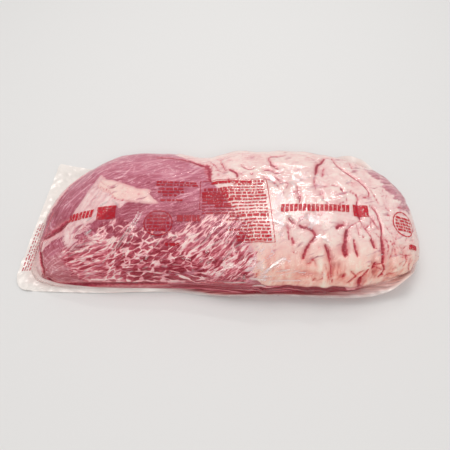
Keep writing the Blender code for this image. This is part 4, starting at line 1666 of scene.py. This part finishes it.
near_edge, far_edge = smooth_curve(FIN_NEAR_EDGE), smooth_curve(FIN_FAR_EDGE)
loop = np.vstack([near_edge, far_edge[::-1], near_edge[:1]])
outer = evenly(loop, FIN_PLACES)
spine = np.stack([np.clip(outer[:, 0], *SPINE_ENDS), np.full(FIN_PLACES, BAG_MIDDLE_Y)], axis=-1)
nearest, furthest = np.zeros(FIN_PLACES), np.ones(FIN_PLACES)
for _ in range(HALVINGS):
    tried = (nearest + furthest) / 2
    x, y = (spine + tried[:, None] * (outer - spine)).T
    s = np.clip((x - SLAB_MIDDLE_X) / (SLAB_LENGTH / 2), -1, 1)
    _, near_side, far_side = long_sides(s)
    within = (y > near_side) & (y < far_side)
    nearest, furthest = np.where(within, tried, nearest), np.where(within, furthest, tried)
ray_length = np.hypot(*(outer - spine).T)
inner = spine + (nearest - TUCK / ray_length)[:, None] * (outer - spine)
fin_reach = ray_length * (1 - nearest)
print("Fin is from", round(fin_reach.min(), 1), "to", round(fin_reach.max(), 1), "mm wide")

# %% Ripple the fin
RIPPLE = 1.1
FINE_RIPPLE = 0.6
BACK_LIFT = 14.0
BACK_LIFT_X = (143, 30)
FAR_SIDE_FROM = 40
EAR_LIFT = ((172, 14, -58, 14, 10.0),)
INNER_LEVEL = 0.85  # the fin starts a little below the crease and ends below it by its droop
OUTER_LEAST = 1.0
LEAST_FIN_HEIGHT = 0.25

across = np.linspace(0, 1, FIN_ROWS)[None, :]
plan = inner[:, None, :] * (1 - across[..., None]) + outer[:, None, :] * across[..., None]
fin_x, fin_y = plan[..., 0], plan[..., 1]
fin_width = (fin_reach + TUCK)[:, None]
start_level = INNER_LEVEL * crease_height(fin_x)
end_level = np.maximum(crease_height(fin_x) - FIN_DROOP, OUTER_LEAST)
level = start_level + (end_level - start_level) * smooth_step(0, 0.9, across)
run = np.arange(FIN_PLACES)[:, None] + 0 * across
free = smooth_step(0.05, 0.5, across)
wave = lumps(run, across * fin_width * 0.5, 9.0, 31) + 0.6 * lumps(run, across * fin_width, 4.0, 32)
level = level + RIPPLE * free * wave * smooth_step(2, 20, fin_width)
level = level + FINE_RIPPLE * free * lumps(run, across * 3, 5.0, 33)
on_far_side = hump(*BACK_LIFT_X, fin_x) * (fin_y > FAR_SIDE_FROM)
level = level + BACK_LIFT * across**1.5 * on_far_side + across * hills(EAR_LIFT, fin_x, fin_y)
level = np.maximum(level, LEAST_FIN_HEIGHT)
fin_points = np.stack([fin_x - BAG_MIDDLE_X, fin_y - BAG_MIDDLE_Y, level], axis=-1)
print("Fin stands up to", round(level.max(), 1), "mm high")

# %% [markdown]
# Two flat layers of film are milkier than one, most of all on the tail. Red juice has run into
# the fin along the near side and into its lifted part at the far right. It could be a piece of
# its own, but it is only a skin of liquid between the layers, so it is stored on the fin as a
# share from 0 to 1 that fades outwards with a ragged edge.

# %% Haze and juice of the fin
TAIL_X = (-120, -175)
NEAR_SKIRT_X = (-40, -80)
# At the fin's lifted right corner the film is hazy, and it is also painted whiter there as a highlight.
EAR_HAZE_AND_HIGHLIGHT = ((164, 18, -60, 14, 1.0),)
ROLL_START_X = (-70, -20)
ROLL_END_X = (175, 192)
FAR_JUICE_X = (150, 24)
CORNER_JUICE = ((-180, 26, -50, 18, 0.22),)
LEFT_RIM_X = -150
LEFT_RIM_Y = (-22, 30)
PALER_RIGHT_X = (60, 150)
LEAST_HAZE = 0.22
TAIL_HAZE = 0.7
LIFTED_HAZE = 0.6
JUICE_END = (0.35, 0.85)  # across the fin, from its inner edge at 0 to its outer edge at 1
RIM_JUICE_END = (0.15, 0.6)
JUICE_RAGS = 0.12

tail = smooth_step(*TAIL_X, fin_x)
near_skirt = smooth_step(*NEAR_SKIRT_X, fin_x) * (fin_y < 0)
lifted = on_far_side + hills(EAR_HAZE_AND_HIGHLIGHT, fin_x, fin_y)
fin_haze = LEAST_HAZE + TAIL_HAZE * np.maximum(tail, 0.9 * near_skirt) + LIFTED_HAZE * lifted
fin_haze = fin_haze + 0.15 * lumps(fin_x, fin_y, 12, 34) + 0.1 * across
along_roll = (fin_y < 0) * smooth_step(*ROLL_START_X, fin_x) * (1 - smooth_step(*ROLL_END_X, fin_x))
at_far_lift = 0.8 * hump(*FAR_JUICE_X, fin_x) * (fin_y > FAR_SIDE_FROM)
at_corner = hills(CORNER_JUICE, fin_x, fin_y)
at_rim = 0.55 * (fin_x < LEFT_RIM_X) * hump(*LEFT_RIM_Y, fin_y) * (1 - smooth_step(*RIM_JUICE_END, across))
paler = smooth_step(*PALER_RIGHT_X, fin_x)
spilt = across + JUICE_RAGS * lumps(fin_x, fin_y, 7, 35) - 0.15 * paler
juice = np.max([along_roll, at_far_lift, at_corner, at_rim], axis=0)
juice = juice * (1 - smooth_step(*JUICE_END, spilt)) * (1 - 0.45 * paler)
print("Juice covers", round(100 * (juice > 0.3).mean()), "% of the fin")

# %% Build the fin
SEALED_WHITE = tone(255, 236, 230)
SEALED_MILK = tone(255, 246, 239)

index = np.arange(FIN_PLACES * FIN_ROWS).reshape(FIN_PLACES, FIN_ROWS)
following = np.roll(index, -1, axis=0)
fin_quads = np.stack([index[:, :-1], index[:, 1:], following[:, 1:], following[:, :-1]], axis=-1)
fin_quads = fin_quads.reshape(-1, 4).tolist()
fin_places = fin_points.reshape(-1, 3)
fin_mesh = bpy.data.meshes.new("film_fin")
fin_mesh.from_pydata((fin_places * MM).tolist(), [], fin_quads)
nothing = 0 * level
fin_values = {
    "haze_and_highlights": fin_haze, "sheen": nothing, "glint": nothing, "glare": nothing, "juice": juice,
    "shine": nothing,
}
for label, values in fin_values.items():
    store(fin_mesh, label, values.ravel())
store(fin_mesh, "skin", fin_places)
fin_mesh.shade_smooth()
fin_mesh.materials.append(
    film_material("sealed_film", SEALED_WHITE, SEALED_MILK, least=0.15, milk=0.8, roughness=0.3)
)
fin = new_piece("film_fin", fin_mesh)
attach(fin, "root")
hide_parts(BAG)
print("Fin has", len(fin_mesh.polygons), "faces")

# %% [markdown]
# ## Plain print on the film
#
# The bag carries a plain red print: bands of bars, two rings and rows of dashes, with a ruled
# panel of dashes in the middle. It could be a picture stretched over the film, but that would
# blur close up. Here each shape is a fine flat mesh on the skin map. A ray dropped on the
# flattened film finds the triangle under each point, and the same place in that triangle's solid
# form is where the ink lies.

# %% Find places on the film
INK_LIFT = 0.12

upper_grid = np.arange(STATIONS * (UPPER_POINTS + LOWER_POINTS)).reshape(STATIONS, -1)[:, :UPPER_POINTS]
corners = [upper_grid[:-1, :-1], upper_grid[:-1, 1:], upper_grid[1:, 1:], upper_grid[1:, :-1]]
triangles = np.concatenate([np.stack([corners[k] for k in pick], axis=-1).reshape(-1, 3)
                            for pick in ((0, 1, 2), (0, 2, 3))]).tolist()
flat_places = [Vector((a, b, 0)) for a, b in zip(u.ravel().tolist(), v.ravel().tolist())]
film_places = film_points.reshape(-1, 3)
film_facing = normals.reshape(-1, 3)
fat_under = (fat_inside.ravel() > 0).astype(float)
flat_film = BVHTree.FromPolygons(flat_places, triangles)
print(len(triangles), "triangles of film to lay the ink on")


def on_film(a, b):
    """The point just above the film at a place on the skin map, and 1 if fat is under it."""
    hit, _, found, _ = flat_film.ray_cast(Vector((a, b, 1)), Vector((0, 0, -1)))
    corner = triangles[found]
    solid = [Vector(film_places[k]) for k in corner]
    place = barycentric_transform(hit, *[flat_places[k] for k in corner], *solid)
    return (place + INK_LIFT * Vector(film_facing[corner[0]])) * MM, fat_under[corner[0]]


# %% Flat shapes of ink
INK_STEP = 1.3
RING_STEPS = 72
DASH_LEAST = 2.0
DASH_GAPS = (0.5, 1.2)
ROW_END = 1.5


def block(left, right, bottom, top, slant=0.0):
    """A plain block as rows of skin places. Slant leans it to the right."""
    across = np.linspace(left, right, max(2, round((right - left) / INK_STEP) + 1))
    upward = np.linspace(bottom, top, max(2, round((top - bottom) / INK_STEP) + 1))
    return [[(a + slant * (b - bottom), b) for a in across] for b in upward]


def ring(centre, radii, width):
    """A ring as an inner and an outer row of places."""
    turns = np.linspace(0, 2 * np.pi, RING_STEPS + 1)
    return [[(centre[0] + (radii[0] - inset) * math.cos(t), centre[1] + (radii[1] - inset) * math.sin(t))
             for t in turns] for inset in (width, 0)]


def dashes(left, right, bottom, height, seed, longest=7.0):
    """A row of plain dashes of uneven length."""
    pick = np.random.default_rng(seed)
    row, place = [], left
    while place < right - ROW_END:
        end = min(place + pick.uniform(DASH_LEAST, longest), right)
        row.append(block(place, end, bottom, bottom + height))
        place = end + pick.uniform(*DASH_GAPS)
    return row


def print_piece(name, shapes, material, lay=on_film):
    """One mesh of ink from many shapes, laid on the film or the fin."""
    laid, faces = [], []
    for shape in shapes:
        first, count = len(laid), len(shape[0])
        laid += [lay(*spot) for row in shape for spot in row]
        for r in range(len(shape) - 1):
            for c in range(count - 1):
                k = first + r * count + c
                faces.append((k, k + 1, k + count + 1, k + count))
    mesh = bpy.data.meshes.new(name)
    mesh.from_pydata([place for place, _ in laid], [], faces)
    store(mesh, "over_fat", np.array([fat for _, fat in laid]))
    mesh.shade_smooth()
    mesh.materials.append(material)
    piece = new_piece(name, mesh)
    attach(piece, "root")
    print(name, "has", len(faces), "faces")


# %% Ink material
def ink_material(name, cover, colour, on_lean=None):
    """Thin red ink that covers unevenly. Less light comes back through it over lean than over fat."""
    material, tree, output = new_material(name)
    where = node(tree, "TexCoord", output="Object")
    worn = cloudy(tree, where, 1.6 * MM, 1.2 * MM, detail=2)
    share = times(tree, step_up(tree, worn, 0.30, 0.52), cover)
    if on_lean:
        colour = blend(tree, painted(tree, "over_fat"), on_lean, colour)
    gloss = node(tree, "BsdfPrincipled", {"Base Color": colour, "Roughness": 0.3, "Specular IOR Level": 0.3})
    see_through(tree, output, share, gloss)
    return material


INK = ink_material("red_ink", 0.95, tone(206, 18, 44), on_lean=tone(184, 12, 36))
FADED_INK = ink_material("faded_red_ink", 0.7, tone(206, 56, 80))
print("Two inks mixed:", INK.name, "and", FADED_INK.name)

# %% Bands of plain bars
BAR_WIDTH = 3.3
BAR_GAP = 0.8
BAR_SLANT = 0.12
LEFT_BARS = (-152, -121, -20, -11)  # left, right, bottom and top on the skin
LEFT_BARS_CLIMB = 0.02
LEFT_BLOCK = (-119, -100, -24, -9)
RIGHT_BARS = (58, 125, -20, -12)
RIGHT_BLOCK = (127, 142, -24, -11)


def bar_band(left, right, bottom, top, climb=0.0):
    """A band of upright bars, slightly slanted."""
    bars, place = [], left
    while place + BAR_WIDTH <= right:
        shift = climb * (place - left)
        bars.append(block(place, place + BAR_WIDTH, bottom + shift, top + shift, slant=BAR_SLANT))
        place += BAR_WIDTH + BAR_GAP
    return bars


left_band = bar_band(*LEFT_BARS, climb=LEFT_BARS_CLIMB) + [block(*LEFT_BLOCK)]
right_band = bar_band(*RIGHT_BARS) + [block(*RIGHT_BLOCK)]
print_piece("print_bands", left_band + right_band, INK)

# %% Rings with plain dashes inside
RING_LINE = 1.4
RING_LEVELS = (-7.5, -3.8, 0, 3.8, 7.5)
RING_FILL = 0.78
RING_DASH = 2.7
LEFT_RING = ((-57.5, -30.5), (14, 14))
RIGHT_RING = ((182, -27), (15, 15.5))


def ring_mark(centre, radii, seed):
    """A thin ring round a few short rows of dashes."""
    rows = [ring(centre, radii, RING_LINE)]
    for level in RING_LEVELS:
        reach = RING_FILL * math.sqrt(radii[0] ** 2 - level**2)
        bottom = centre[1] + level - 1.3
        rows += dashes(centre[0] - reach, centre[0] + reach, bottom, RING_DASH, seed + int(level * 10))
    return rows


print_piece("print_rings", ring_mark(*LEFT_RING, 100) + ring_mark(*RIGHT_RING, 200), INK)

# %% Rows of dashes
SMALL_DASH = 2.6
SMALL_ROWS = (  # left, right and bottom on the skin
    (-62, -20, 16.5), (-62, -20, 13), (-59, -33, 8), (-60, -34, 4.2), (-55, -40, 0), (-57, -35, -6),
)
TALL_ROW = (-40, -18, -29, 7.0)
LOW_ROW = (-50, -36, -56, 4.0)
END_BLOCK = (186, 204, -58, -51)

small_rows = []
for k, (left, right, level) in enumerate(SMALL_ROWS):
    small_rows += dashes(left, right, level, SMALL_DASH, 300 + k)
small_rows += dashes(*TALL_ROW, 310, longest=9) + dashes(*LOW_ROW, 311)
small_rows += [block(*END_BLOCK)]
print_piece("print_rows", small_rows, INK)

# %% The ruled panel
PANEL_TOP, PANEL_BOTTOM = 20, -53
PANEL_LEFT, PANEL_RIGHT = -19, 46
PANEL_WIDENING = 5  # the bag has stretched, so the panel's right side leans outwards
PANEL_SPREAD = PANEL_WIDENING / (PANEL_TOP - PANEL_BOTTOM)
LEFT_RULE_BOTTOM = -16
BOTTOM_RULE_LEFT = 22
RULE = 0.7
PANEL_INSET = 2.5
PANEL_ROWS = 19
PANEL_ROW_STEP = 3.75
FIRST_ROW = 3.8
FULL_ROWS = range(4, 11)
TOP_STARTS = (-8, 14)
LOW_STARTS = (4, 22)
DASH_HEIGHTS = (1.7, 3.1)
BOLD_DASH = 3.7
BOLD_ROWS = (
    (-8, 32, 15.0), (-15, 12, 6.4), (-17, 9, 2.0), (-17, 9, -2.6), (-16, 20, -6.6), (-12, 6, -9.5),
    (-4, 12, -14.0),
)

low_right = PANEL_RIGHT + PANEL_WIDENING
panel = [block(PANEL_LEFT, PANEL_RIGHT, PANEL_TOP, PANEL_TOP + RULE)]
panel += [block(PANEL_LEFT, PANEL_LEFT + RULE, LEFT_RULE_BOTTOM, PANEL_TOP)]
panel += [block(low_right, low_right + RULE, PANEL_BOTTOM, PANEL_TOP, slant=-PANEL_SPREAD)]
panel += [block(BOTTOM_RULE_LEFT, low_right, PANEL_BOTTOM, PANEL_BOTTOM + RULE)]
pick = np.random.default_rng(400)
for k in range(PANEL_ROWS):
    level = PANEL_TOP - FIRST_ROW - PANEL_ROW_STEP * k
    right = PANEL_RIGHT + PANEL_SPREAD * (PANEL_TOP - level) - PANEL_INSET
    if k in FULL_ROWS:
        left = PANEL_LEFT + PANEL_INSET
    else:
        left = pick.uniform(*(TOP_STARTS if k < FULL_ROWS.start else LOW_STARTS))
    panel += dashes(left, right, level, pick.uniform(*DASH_HEIGHTS), 401 + k)
for k, (left, right, level) in enumerate(BOLD_ROWS):
    panel += dashes(left, right, level, BOLD_DASH, 430 + k, longest=8)
print_piece("print_panel", panel, INK)

# %% Faint columns of dashes on the tail
TAIL_PRINT_LIFT = 0.25
ABOVE_FIN = 60
TAIL_COLUMNS = 4
TAIL_COLUMN_STEP = 2.5
TAIL_COLUMN_WIDTH = 1.4
TAIL_LEAN = 0.09  # the columns keep to the slant of the tail's outer edge
TAIL_CORNER = (-195, -54)
TAIL_DASHES = (1.5, 6.0)
TAIL_GAPS = (0.8, 2.0)

solid_fin = BVHTree.FromPolygons([Vector(place) for place in fin_places.tolist()], fin_quads)


def on_fin(a, b):
    """The point just above the fin at a place in plan. Its ink looks as it does over fat."""
    hit, *_ = solid_fin.ray_cast(Vector((a, b, ABOVE_FIN)), Vector((0, 0, -1)))
    return (hit + Vector((0, 0, TAIL_PRINT_LIFT))) * MM, 1.0


tail_rows = []
for k in range(TAIL_COLUMNS):
    pick = np.random.default_rng(500 + k)
    place = TAIL_CORNER[1]
    while place < 0:
        end = place + pick.uniform(*TAIL_DASHES)
        left = TAIL_CORNER[0] + TAIL_COLUMN_STEP * k + TAIL_LEAN * (place - TAIL_CORNER[1])
        tail_rows.append(block(left, left + TAIL_COLUMN_WIDTH, place, end, slant=TAIL_LEAN))
        place = end + pick.uniform(*TAIL_GAPS)
print_piece("print_tail", tail_rows, FADED_INK, on_fin)
